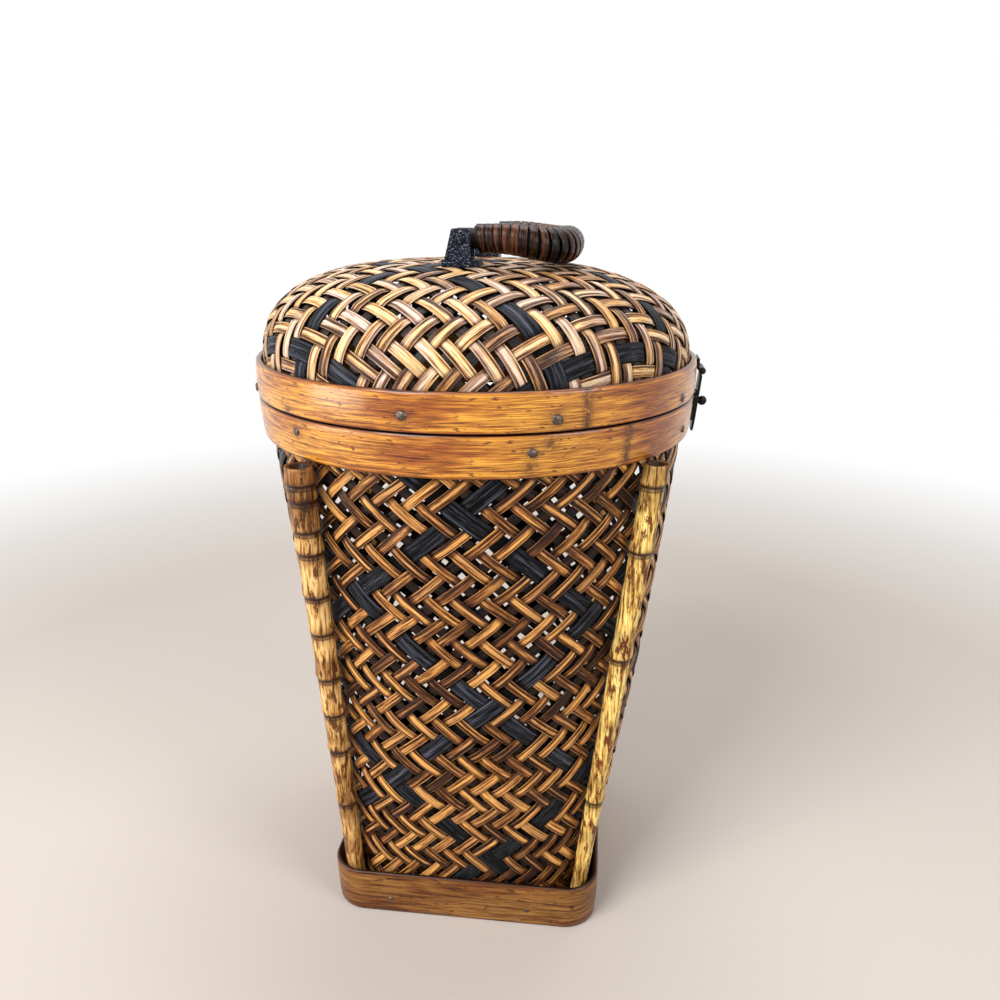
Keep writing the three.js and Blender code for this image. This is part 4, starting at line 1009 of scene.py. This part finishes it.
def mat_paths(settings, along_first, reach, inside, place, dark_own, dark_other, seed):
    """Paths of one direction of a flat twill mat, laid on a surface by place(u, v, offset)."""
    pitch = settings.mat_pitch / MM
    tan_half, dark_half = half_widths(settings, pitch)
    count = int(reach / pitch)
    rng = np.random.default_rng(seed)
    rows = np.arange(-reach / pitch, reach / pitch, 1 / (STEPS_PER_CROSSING + 1))
    turn = 1 if along_first else -1
    light = []
    dark = []
    for strip in range(-count, count + 1):
        tone = rng.uniform(0, 1)
        own = (strip + wander(rng, rows)) * pitch
        other = rows * pitch
        first, second = (own, other) if along_first else (other, own)
        u = (first + second) / ROOT_TWO
        v = (first - second) / ROOT_TWO
        held = inside(u, v)
        if held.sum() < FEWEST_POINTS:
            continue

        def signs(row, strip=strip):
            return over(turn * (strip - row)) * turn

        def halves(row):
            return np.where(np.isin(row, dark_other), dark_half, tan_half)

        wave = turn * np.cos(TURN * (turn * (strip - rows) - 0.5) / TWILL)
        offset = twill_profile(rows, signs, halves, wave)[held]
        points, normals = place(u[held], v[held], offset)
        target = dark if strip in dark_own else light
        target.append((points, normals, tone, 1.0, offset))
    return light, dark


def weave(name, body, node, settings, paths, dark=False, finish="rattan strips", width=0.0):
    """One piece of flat strips, tan or dark."""
    material = finish_of("dark rattan strips" if dark else finish, settings)
    values = {
        "Width": settings.dark_width if dark else width or settings.strip_width,
        "Thickness": settings.strip_thickness,
        "Groove": GROOVE_DEPTH,
        "Roundness": STRIP_ROUNDNESS,
        "Sides": DARK_SIDES if dark else TAN_SIDES,
        "Material": material,
    }
    piece = through_tree(name, path_mesh(name + " paths", paths), strip_tree(), values)
    finish_piece(piece, body, "dark_rattan" if dark else "rattan", material, node)


class BASKET_OT_wall(bpy.types.Operator):
    """Weaves the wall of the body from strips that rise and fall round it"""

    bl_idname = "basket.wall"
    bl_label = "Weave the wall"

    def execute(self, context):
        settings = context.scene.basket
        every = set(range(WALL_STRIPS))
        for label, rising, dark in (("rising", True, DARK_RISING), ("falling", False, DARK_FALLING)):
            dark_numbers = {k % WALL_STRIPS for k in dark}
            tan_paths = wall_paths(settings, rising, every - dark_numbers)
            weave("wall_strips_" + label, "basket", "body_weave", settings, tan_paths)
            dark_paths = wall_paths(settings, rising, dark_numbers)
            weave("dark_strips_" + label, "basket", "body_weave", settings, dark_paths, dark=True)
        return {"FINISHED"}


class BASKET_OT_floor(bpy.types.Operator):
    """Weaves the floor mat inside the base"""

    bl_idname = "basket.floor_mat"
    bl_label = "Weave the floor"

    def execute(self, context):
        settings = context.scene.basket
        half = float(body_half(FLOOR_MIDDLE)) - FLOOR_MARGIN
        corner = float(body_corner(FLOOR_MIDDLE)) - FLOOR_MARGIN

        def inside(u, v):
            over_u = np.maximum(np.abs(u) - (half - corner), 0)
            over_v = np.maximum(np.abs(v) - (half - corner), 0)
            return np.hypot(over_u, over_v) < corner

        def place(u, v, offset):
            points = np.stack([u, v, FLOOR_MIDDLE + offset], axis=-1)
            return points, np.tile((0.0, 0.0, 1.0), (len(u), 1))

        paths = []
        for along_first in (True, False):
            seed = FLOOR_SEED + along_first
            light, _ = mat_paths(settings, along_first, half * ROOT_TWO, inside, place, (), (), seed)
            paths.extend(light)
        weave("floor_mat", "basket", "body_weave", settings, paths)
        return {"FINISHED"}


class BASKET_OT_lid(bpy.types.Operator):
    """Weaves the domed lid from a mat drawn down over its shoulder"""

    bl_idname = "basket.lid_mat"
    bl_label = "Weave the lid"

    def execute(self, context):
        settings = context.scene.basket
        limit = DOME[0][-1] - LID_MARGIN

        def inside(u, v):
            return np.hypot(u, v) < limit

        def place(u, v, offset):
            return lid_points(u, v, WALL_MIDDLE + offset)

        plans = (
            ("first", True, LID_DARK_FIRST, LID_DARK_SECOND),
            ("second", False, LID_DARK_SECOND, LID_DARK_FIRST),
        )
        tan = {"finish": "lid rattan strips", "width": settings.lid_width}
        for label, along_first, own, other in plans:
            seed = LID_SEED + along_first
            light, dark = mat_paths(settings, along_first, limit, inside, place, own, other, seed)
            weave("lid_strips_" + label, "lid", "lid_weave", settings, light, **tan)
            weave("lid_dark_strips_" + label, "lid", "lid_weave", settings, dark, dark=True)
        return {"FINISHED"}


# Hoops

HOOP_LAP = 0.05
HOOP_FEATHER = 0.7
LAP_GAP = 0.1
LAP_STEPS = 16
HOOP_STEPS = 440
STEP_GAP = 0.002
HOOP_LEVELS = np.array([0, 0.015, 0.04, 0.09, 0.2, 0.32, 0.44, 0.56, 0.68, 0.8, 0.91, 0.96, 0.985, 1.0])
# Where the section's edges begin to round, and how much the outer and the inner ones do
EDGE_FROM = 0.88
OUTER_ROUND = 0.3
INNER_ROUND = 0.2
KNOT_WIDTH = 3.0
HALO_WIDTH = 4.2
# Where, across the section, the painted shade of the edge that meets the other hoop begins.
SEAM_SHADE_FROM = 0.93
HOOP_HEIGHT = 23.6
NAIL_STAND = 4.1
BASE_NAIL_STAND = 3.3


def hoop_mesh(name, outline, low, high, inner, thickness, start, crown, knots, heads, meeting):
    """A bent strip whose feathered ends lie over each other. outline(share, z, offset) gives its points.

    knots are shares of the way round where the bamboo has a growth ring, and heads the points of
    the nails, round which it has gone dark. meeting is 1 or -1 where the upper or the lower edge
    meets the other hoop and is blackened there with painted shade.
    """
    first = np.linspace(0, HOOP_LAP, LAP_STEPS)
    middle = np.linspace(HOOP_LAP + STEP_GAP, 1.0, HOOP_STEPS)
    shares = np.concatenate([first, middle, np.linspace(1 + STEP_GAP, 1 + HOOP_LAP, LAP_STEPS)])
    z = low + (high - low) * HOOP_LEVELS
    side = 2 * HOOP_LEVELS - 1
    edge = np.clip((np.abs(side) - EDGE_FROM) / (1 - EDGE_FROM), 0, 1) ** 2
    growth = thickness - 2 * HOOP_FEATHER
    rings = []
    for share in shares:
        under = 0.0
        over_face = thickness
        if share <= HOOP_LAP:
            over_face = HOOP_FEATHER + growth * share / HOOP_LAP
        elif share > 1.0:
            under = HOOP_FEATHER + LAP_GAP + (growth - LAP_GAP) * (share - 1) / HOOP_LAP
        depth = over_face - under
        outer = inner + over_face - depth * OUTER_ROUND * edge - crown * side**2
        inward = inner + under + depth * INNER_ROUND * edge
        turn = np.full(z.size, start + share)
        rings.append(np.concatenate([outline(turn, z, outer), outline(turn, z, inward)[::-1]]))
    rings = np.array(rings)
    radius = np.hypot(rings[0, 0, 0], rings[0, 0, 1])
    knot = np.zeros(rings.shape[:2])
    for centre in knots:
        gap = np.abs(np.mod(start + shares - centre + 0.5, 1) - 0.5) * TURN * radius
        knot = np.maximum(knot, np.exp(-((gap / KNOT_WIDTH) ** 2))[:, None])
    halo = np.zeros(rings.shape[:2])
    for head in heads:
        gap = np.linalg.norm(rings - np.asarray(head), axis=2)
        halo = np.maximum(halo, np.exp(-((gap / HALO_WIDTH) ** 2)))
    across = np.concatenate([side, side[::-1]])
    # Painted shade along the edge that meets the other hoop.
    seam_shade = np.clip((across * meeting - SEAM_SHADE_FROM) / (1 - SEAM_SHADE_FROM) * 2, 0, 1)
    extras = {"knot": knot, "halo": halo, "seam_shade": np.tile(seam_shade, (len(shares), 1))}
    return tube(name, rings, shares * TURN * radius, across, extras)


def round_outline(radius_at):
    """Outline of a round hoop. Share 0 is the middle of the front."""

    def points(share, z, offset):
        angle = TURN * share - math.pi / 2
        reach = radius_at(z) + offset
        return np.stack([reach * np.cos(angle), reach * np.sin(angle), z], axis=-1)

    return points


def square_outline(share, z, offset):
    """Outline of a hoop round the base."""
    x, y, normal_x, normal_y = rounded_point(body_half(z), np.full(z.shape, BASE_CORNER), share)
    return np.stack([x + offset * normal_x, y + offset * normal_y, z], axis=-1)


def nail_points(places, radius_at):
    """Points and normals of nail heads from (azimuth in degrees, height, size)."""
    heads = []
    for degrees, z, size in places:
        normal = (math.cos(math.radians(degrees)), math.sin(math.radians(degrees)), 0.0)
        reach = float(radius_at(z)) + NAIL_STAND
        heads.append(((reach * normal[0], reach * normal[1], z), normal, size))
    return heads


def lid_radius(z):
    """Radius of the lid's wall, the same at every height."""
    return np.full(np.shape(z), LID_RADIUS)


def hoop_plans():
    """The six hoops.

    Each has its name, node, body, finish and slot, then the arguments of hoop_mesh: outline,
    lower and upper edge, inner face from the weave's outer face, thickness, start of the lap,
    crown, growth rings, nails and meeting edge.
    """
    rim = round_outline(body_half)
    lid = round_outline(lid_radius)
    body_heads = [point for point, _, _ in nail_points(BODY_NAILS + BODY_PITS, body_half)]
    lid_heads = [point for point, _, _ in nail_points(LID_NAILS + LID_PITS, lid_radius)]
    rim_low = RIM_HEIGHT - HOOP_HEIGHT
    hoop = ("hoop bamboo", "hoop_bamboo")
    bare = ("slat bamboo", "hoop_bamboo")
    base = ("base hoop bamboo", "base_bamboo")
    return (
        ("body_hoop_outside", "body_rim_hoop_outer", "basket", *hoop,
         (rim, rim_low, RIM_HEIGHT, 0.3, 4.0, 0.54, 0.4, (0.122, 0.62), body_heads, 1)),
        ("body_hoop_inside", "body_rim_hoop_inner", "basket", *bare,
         (rim, rim_low, RIM_HEIGHT, -6.1, 2.8, 0.3, 0.0, (0.4,), (), 0)),
        ("lid_hoop_outside", "lid_hoop_outer", "lid", *hoop,
         (lid, LID_BOTTOM, LID_HOOP_TOP, 0.3, 4.0, 0.54, 0.4, (0.089, 0.55), lid_heads, -1)),
        ("lid_hoop_inside", "lid_hoop_inner", "lid", *bare,
         (lid, LID_BOTTOM, LID_SHOULDER, -6.1, 2.8, 0.3, 0.0, (0.8,), (), 0)),
        ("base_hoop_outside", "base_hoop_outer", "basket", *base,
         (square_outline, 0.0, BASE_HEIGHT, 0.3, 3.2, 0.5, 0.3, (), (), 0)),
        ("base_hoop_inside", "base_hoop_inner", "basket", *base,
         (square_outline, 0.5, 11.7, -6.3, 3.0, 0.25, 0.0, (), (), 0)),
    )


class BASKET_OT_hoops(bpy.types.Operator):
    """Bends the six bamboo hoops of the rim, the lid and the base"""

    bl_idname = "basket.hoops"
    bl_label = "Bend the hoops"

    def execute(self, context):
        settings = context.scene.basket
        for name, node, body, finish, slot, shape in hoop_plans():
            piece = new_object(name, hoop_mesh(name, *shape))
            finish_piece(piece, body, slot, finish_of(finish, settings), node)
        return {"FINISHED"}


# Posts

POST_SIDES = 30
POST_SEED = 40
POST_STEP = 4.0
POST_MOUTH = 3.0
# Heights of the rings of points about a knot
KNOT_STEPS = (-5.2, -4.6, -4.1, -3.6, -3.0, -2.5, -1.9, -1.4, -0.8, 0.0, 0.9, 2.0, 3.2, 4.8, 6.5)
SWELL_BELOW = 1.4
SWELL_ABOVE = 5.5
SCORE_DEPTH = 0.45
SCORE_WIDTH = 0.7
RING_DROP = 1.9
SECOND_RING = 4.1
RING_WIDTH = 1.6
SECOND_SHADE = 0.85
GRIME_REACH = 4.5
# Painted shade over the top of a post, under the rim hoop, and the length over which it fades.
SHADED_TOP = 13.0
TOP_SHADE_FADE = 5
BEND = 0.35
BEND_REACH = 14
BEND_SHARE = 0.6
LOBE_DENTS = (0.02, 0.015)


def hump(distance, width):
    """1 at no distance, falling smoothly to 0 over about that width."""
    return np.exp(-((distance / width) ** 2))


def post_mesh(name, corner, knots, slim, seed):
    """A knotty bamboo culm with a cut, hollow top. slim is its thickness as a share of the full one."""
    rng = np.random.default_rng(seed)
    heights = list(np.arange(POST_BOTTOM + 0.6, POST_TOP - 0.6, POST_STEP))
    for knot in knots:
        heights.extend(knot + step for step in KNOT_STEPS)
    heights = sorted(h for h in set(np.round(heights, 2)) if POST_BOTTOM + 0.5 < h < POST_TOP - 0.5)
    mouth = (POST_TOP, POST_TOP, POST_TOP - 0.4, POST_TOP - POST_MOUTH, POST_TOP - POST_MOUTH - 0.2)
    z = np.array([POST_BOTTOM, POST_BOTTOM, *heights, *mouth])
    full = post_radius(z)
    radius = full * slim
    ring = np.zeros(z.size)
    # Dirt gathers at the knots; the top, under the rim hoop, is darkened as painted shade.
    grime_and_shade = np.clip((z - POST_TOP + SHADED_TOP) / TOP_SHADE_FADE, 0, 1)
    bend_x = np.zeros(z.size)
    bend_y = np.zeros(z.size)
    for knot in knots:
        above = z - knot
        swell = np.where(above < 0, hump(above, SWELL_BELOW), hump(above, SWELL_ABOVE))
        radius = radius + POST_BULGE * swell - SCORE_DEPTH * hump(above + RING_DROP, SCORE_WIDTH)
        ring = np.maximum(ring, hump(above + RING_DROP, RING_WIDTH))
        ring = np.maximum(ring, SECOND_SHADE * hump(above + SECOND_RING, SCORE_WIDTH))
        grime_and_shade = np.maximum(grime_and_shade, np.exp(-np.abs(above + RING_DROP) / GRIME_REACH))
        # A culm bends a little at each knot.
        shift = rng.uniform(-BEND, BEND, 2)
        bend_x = bend_x + shift[0] * hump(above, BEND_REACH)
        bend_y = bend_y + shift[1] * hump(above, BEND_REACH)
    radius = np.minimum(radius, full + POST_BULGE)
    top = post_radius(POST_TOP) * slim
    radius[0] -= 0.5
    # The cut rim, then the wall and the bottom of the hollow
    radius[-5:] = (top, top - 0.4, top - 3.0, top - 3.3, 0.6)
    # The cut face is half darkened, and the hollow is darkened fully as painted shade.
    ring[-4:] = (0.5, 1.0, 1.0, 1.0)
    angles = np.arange(POST_SIDES) / POST_SIDES * TURN
    starts = rng.uniform(0, TURN, 2)
    # A culm is nowhere quite round.
    lobes = 1.0
    for count, dent, start in zip((2, 3), LOBE_DENTS, starts):
        lobes = lobes - dent * (1 + np.sin(count * angles + start)) / 2
    rings = []
    for height, reach, off_x, off_y in zip(z, radius, bend_x, bend_y):
        x, y = post_axis(corner, height)
        inward = (1 - slim) * float(post_radius(height))
        x = x - inward * math.cos(corner) + off_x * BEND_SHARE
        y = y - inward * math.sin(corner) + off_y * BEND_SHARE
        ring_x = x + reach * lobes * np.cos(angles)
        ring_y = y + reach * lobes * np.sin(angles)
        rings.append(np.stack([ring_x, ring_y, np.full(POST_SIDES, height)], -1))
    extras = {"knot": np.clip(ring, 0, 1), "grime_and_shade": grime_and_shade}
    return tube(name, np.array(rings), z, np.sin(angles), extras)


class BASKET_OT_posts(bpy.types.Operator):
    """Turns the four knotty corner posts"""

    bl_idname = "basket.posts"
    bl_label = "Make the posts"

    def execute(self, context):
        settings = context.scene.basket
        for place, (label, degrees, knots, slim, finish, slot) in enumerate(POSTS):
            name = "culm_" + label
            mesh = post_mesh(name, math.radians(degrees), knots, slim, POST_SEED + place)
            piece = new_object(name, mesh)
            finish_piece(piece, "basket", slot, finish_of(finish, settings), "corner_post_" + label)
        return {"FINISHED"}


# Handle

WRAP_STEPS = 26
WRAP_SINK = 0.1
WRAP_SIDES = 12
WRAP_ROUNDNESS = 0.42
NARROWEST = 0.25
WIDEST = 1.5
BEND_EASE = 3


def bail_frame(way):
    """Centre, sideways and upward directions along the bail."""
    tangent = bail_point(way + 0.05) - bail_point(way - 0.05)
    tangent /= np.linalg.norm(tangent, axis=1)[:, None]
    side = np.cross(np.tile((0.0, 0.0, 1.0), (len(way), 1)), tangent)
    side /= np.linalg.norm(side, axis=1)[:, None]
    return bail_point(way), side, np.cross(tangent, side)


def bail_curve(way):
    """How sharply the bail bends at a distance along it."""
    bend_end = HANDLE_LEG + BEND_LENGTH
    bends = []
    for reach in (way, BAIL_LENGTH - way):
        begun = smooth(HANDLE_LEG - BEND_EASE, HANDLE_LEG + BEND_EASE, reach)
        bends.append(begun * (1 - smooth(bend_end - BEND_EASE, bend_end + BEND_EASE, reach)))
    return sum(bends) / HANDLE_CORNER


class BASKET_OT_handle(bpy.types.Operator):
    """Winds the rattan peel round the bail and gives the core its finish"""

    bl_idname = "basket.handle"
    bl_label = "Wind the handle"

    def execute(self, context):
        settings = context.scene.basket
        turns = settings.wrap_turns
        wound = BAIL_LENGTH - 2 * WRAP_START
        width = wound / turns - WRAP_GAP
        share = np.linspace(0, 1, turns * WRAP_STEPS + 1)
        way = WRAP_START + wound * share
        angle = share * turns * TURN
        centre, side, up = bail_frame(way)
        out = side * np.cos(angle)[:, None] + up * np.sin(angle)[:, None]
        reach = bail_radius(way) - settings.wrap_thickness / MM / 2 - WRAP_SINK
        points = centre + out * reach[:, None]
        # The turns lie closer on the inside of a bend, and wider on its outside.
        local = wound / turns * (1 - bail_curve(way) * reach * np.cos(angle))
        scale = np.clip((local - WRAP_GAP) / width, NARROWEST, WIDEST)
        mesh = path_mesh("wrap path", [(points, out, 0.5, scale, 1.0)])
        material = finish_of("dark rattan peel", settings)
        values = {
            "Width": width * MM,
            "Thickness": settings.wrap_thickness,
            "Groove": 0.0,
            "Roundness": WRAP_ROUNDNESS,
            "Sides": WRAP_SIDES,
            "Material": material,
        }
        piece = through_tree("handle_winding", mesh, strip_tree(), values)
        finish_piece(piece, "handle", "dark_rattan", material, "handle_wrap")
        core = softened("handle_cane", "handle_core", 0.0)
        finish_piece(core, "handle", "core_wood", finish_of("core wood", settings), "handle_core")
        return {"FINISHED"}


# Ironwork

MERGE = 1e-6
FLAT_ANGLE = math.radians(0.5)
ROUNDED_ANGLE = math.radians(35)
SHARP_ANGLE = math.radians(50)
# Pieces and their nodes, by body, slot, finish and share of the edges' full rounding
IRON = (
    ("lid", "black_iron", "painted iron", 1.0, (
        ("bracket_front", "handle_bracket_front"),
        ("bracket_back", "handle_bracket_back"),
        ("backing_front", "bracket_backing_front"),
        ("backing_back", "bracket_backing_back"),
    )),
    ("lid", "dark_iron", "painted iron", 0.5, (
        ("rivet_front_left", "bracket_rivet_front_left"),
        ("rivet_front_right", "bracket_rivet_front_right"),
        ("rivet_back_left", "bracket_rivet_back_left"),
        ("rivet_back_right", "bracket_rivet_back_right"),
        ("pin_front", "handle_pin_front"),
        ("pin_back", "handle_pin_back"),
    )),
    ("lid", "dark_iron", "dark iron", 0.6, (("lid_leaf_back", "hinge_leaf_lid"),)),
    ("basket", "dark_iron", "dark iron", 0.6, (("body_leaf_back", "hinge_leaf_body"),)),
    ("basket", "dark_iron", "dark iron", 0.4, (("hinge_rod", "hinge_pin"),)),
    ("basket", "dark_iron", "dark iron", 0.6, (("latch_plate", "latch_plate_body"),)),
    ("lid", "dark_iron", "dark iron", 0.6, (("latch_leaf", "latch_leaf_lid"),)),
    ("lid", "dark_iron", "dark iron", 0.4, (("latch_rod", "latch_pin"),)),
    ("hasp", "dark_iron", "dark iron", 0.6, (("hasp", "latch_hasp"),)),
    ("knob", "dark_iron", "dark iron", 0.6, (("knob", "latch_knob"),)),
    ("basket", "slat_bamboo", "slat bamboo", 0.6, (
        ("slat_crosswise", "floor_slat_crosswise"),
        ("slat_lengthwise", "floor_slat_lengthwise"),
    )),
)


def softened(name, node, edge):
    """A merged copy of a CAD node with its sharp edges rounded."""
    mesh = NODES[node].data.copy()
    mesh.name = name
    work = bmesh.new()
    work.from_mesh(mesh)
    bmesh.ops.remove_doubles(work, verts=work.verts, dist=MERGE)
    bmesh.ops.dissolve_limit(work, angle_limit=FLAT_ANGLE, verts=work.verts, edges=work.edges)
    work.to_mesh(mesh)
    work.free()
    obj = new_object(name, mesh)
    if edge > 0:
        rounding = obj.modifiers.new("edges", "BEVEL")
        rounding.width = edge
        rounding.segments = 2
        rounding.limit_method = "ANGLE"
        rounding.angle_limit = ROUNDED_ANGLE
        rounding.use_clamp_overlap = True
        mesh = applied(obj)
    for face in mesh.polygons:
        face.use_smooth = True
    mesh.set_sharp_from_angle(angle=SHARP_ANGLE)
    return obj


class BASKET_OT_iron(bpy.types.Operator):
    """Rounds the edges of the ironwork and the slats and gives them their finish"""

    bl_idname = "basket.iron"
    bl_label = "Finish the ironwork"

    def execute(self, context):
        settings = context.scene.basket
        for body, slot, finish, share, pieces in IRON:
            for name, node in pieces:
                piece = softened(name, node, settings.iron_edge * share)
                finish_piece(piece, body, slot, finish_of(finish, settings), node)
        return {"FINISHED"}


# Nails


def nails(name, body, places, settings):
    """One piece of domed nails. places are (point, normal, size)."""
    points, normals, sizes = zip(*places)
    mesh = bpy.data.meshes.new(name + " places")
    mesh.from_pydata([tuple(c * MM for c in point) for point in points], [], [])
    set_values(mesh, "facing", normals, "FLOAT_VECTOR")
    set_values(mesh, "scale", sizes)
    iron = finish_of("nail iron", settings)
    piece = through_tree(name, mesh, nail_tree(), {"Radius": settings.nail_radius, "Material": iron})
    finish_piece(piece, body, "dark_iron", iron)


class BASKET_OT_nails(bpy.types.Operator):
    """Drives the domed nails into the three hoops"""

    bl_idname = "basket.nails"
    bl_label = "Drive the nails"

    def execute(self, context):
        settings = context.scene.basket
        body = nail_points(BODY_NAILS, body_half)
        for x, z, size in BASE_NAILS:
            body.append(((x, -float(body_half(z)) - BASE_NAIL_STAND, z), (0.0, -1.0, 0.0), size))
        nails("body_nails", "basket", body, settings)
        nails("lid_nails", "lid", nail_points(LID_NAILS, lid_radius), settings)
        return {"FINISHED"}


# Stage

ROOM_LIGHT = 0.20
GROUND_HALF = 6.0
# Half the distance from the middle, in metres, where the floor's colour and its haze begin and end
FLOOR_FADE = (0.45, 0.8)
FLOOR_HAZE = (0.3, 0.62)
# Each lamp: name, place, the point that it faces, size and power.
LAMPS = (
    ("key", (-0.8, -1.2, 1.6), (0, 0, 0.25), (0.9, 0.9), 34),
    ("fill", (1.4, -0.9, 1.0), (0, 0, 0.25), (0.8, 0.8), 14),
    ("top", (0.1, 0.5, 1.9), (0, 0, 0.3), (1.2, 0.9), 18),
    ("window", (-1.32, -0.72, 0.33), (0, 0, 0.3), (0.75, 0.6), 10),
)
LENS = 30.96
EYE = (0.0773, -0.5405, 0.454)
EYE_TURN = (90 - 18.8, -0.22, 6.69)


def lamp(name, place, target, size, power):
    """An area lamp that faces a point."""
    light = bpy.data.lights.new(name, "AREA")
    light.shape = "RECTANGLE"
    light.size, light.size_y = size
    light.energy = power
    obj = new_object(name, light)
    obj.location = place
    obj.rotation_euler = (Vector(target) - Vector(place)).to_track_quat("-Z", "Y").to_euler()
    return obj


def seeing_rays(tree):
    """1 for the rays that see the background: from the camera, or by way of gloss or glass."""
    path = add(tree, "ShaderNodeLightPath").outputs
    direct = math_node(tree, "MAXIMUM", path["Is Camera Ray"], path["Is Transmission Ray"])
    return math_node(tree, "MAXIMUM", direct, path["Is Glossy Ray"])


class BASKET_OT_stage(bpy.types.Operator):
    """Sets the floor, the lamps, the pale surroundings and the camera"""

    bl_idname = "basket.stage"
    bl_label = "Set the stage"

    def execute(self, context):
        mesh = bpy.data.meshes.new("ground")
        signs = ((-1, -1), (1, -1), (1, 1), (-1, 1))
        mesh.from_pydata([(x * GROUND_HALF, y * GROUND_HALF, 0) for x, y in signs], [], [(0, 1, 2, 3)])
        ground = new_object("ground", mesh)
        tree, shader = new_material("ground", 0.8, 0.1)
        mesh.materials.append(bpy.data.materials["ground"])
        place = add(tree, "ShaderNodeTexCoord").outputs["Object"]
        far = add(tree, "ShaderNodeVectorMath", {0: place}, operation="LENGTH").outputs["Value"]
        way = times(tree, far, 0.5)
        near = tuple(context.scene.basket.floor_colour)
        fade = ramp(tree, way, ((FLOOR_FADE[0], near), (FLOOR_FADE[1], WHITE)))
        tree.links.new(fade, shader.inputs["Base Color"])
        haze = ramp(tree, way, ((FLOOR_HAZE[0], BLACK), (FLOOR_HAZE[1], WHITE)))
        glow = made(tree, "ShaderNodeEmission", {"Color": (*WHITE, 1)})
        veil = {0: times(tree, seeing_rays(tree), haze), 1: shader.outputs[0], 2: glow}
        output = tree.nodes["Material Output"].inputs["Surface"]
        tree.links.new(made(tree, "ShaderNodeMixShader", veil), output)
        [lamp(*plan) for plan in LAMPS]
        world = bpy.data.worlds.new("room")
        context.scene.world = world
        world.use_nodes = True
        sky = world.node_tree
        background = sky.nodes["Background"]
        background.inputs["Color"].default_value = (*WHITE, 1)
        sky.links.new(math_node(sky, "MAXIMUM", seeing_rays(sky), ROOM_LIGHT), background.inputs["Strength"])
        context.scene.view_settings.view_transform = "Standard"
        camera = bpy.data.cameras.new("camera")
        camera.lens = LENS
        camera.sensor_width = 36.0
        camera.clip_start = 0.01
        eye = new_object("camera", camera)
        eye.location = EYE
        eye.rotation_euler = [math.radians(angle) for angle in EYE_TURN]
        context.scene.camera = eye
        return {"FINISHED"}


class BASKET_PT_panel(bpy.types.Panel):
    """Buttons and sizes of the basket"""

    bl_label = "Basket"
    bl_idname = "BASKET_PT_panel"
    bl_space_type = "VIEW_3D"
    bl_region_type = "UI"
    bl_category = "Basket"

    def draw(self, context):
        settings = context.scene.basket
        for name in BasketSettings.__annotations__:
            self.layout.prop(settings, name)
        for operator in OPERATORS:
            self.layout.operator(operator.bl_idname)


OPERATORS = (
    BASKET_OT_wall,
    BASKET_OT_floor,
    BASKET_OT_lid,
    BASKET_OT_hoops,
    BASKET_OT_posts,
    BASKET_OT_handle,
    BASKET_OT_iron,
    BASKET_OT_nails,
    BASKET_OT_stage,
)
CLASSES = (BasketSettings, *OPERATORS, BASKET_PT_panel)


def register():
    for cls in CLASSES:
        bpy.utils.register_class(cls)
    bpy.types.Scene.basket = PointerProperty(type=BasketSettings)


def unregister():
    del bpy.types.Scene.basket
    for cls in reversed(CLASSES):
        bpy.utils.unregister_class(cls)


def main():
    register()
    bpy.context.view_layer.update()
    bpy.ops.basket.wall()
    bpy.ops.basket.floor_mat()
    bpy.ops.basket.lid_mat()
    bpy.ops.basket.hoops()
    bpy.ops.basket.posts()
    bpy.ops.basket.handle()
    bpy.ops.basket.iron()
    bpy.ops.basket.nails()
    bpy.ops.basket.stage()


if __name__ == "__main__":
    main()
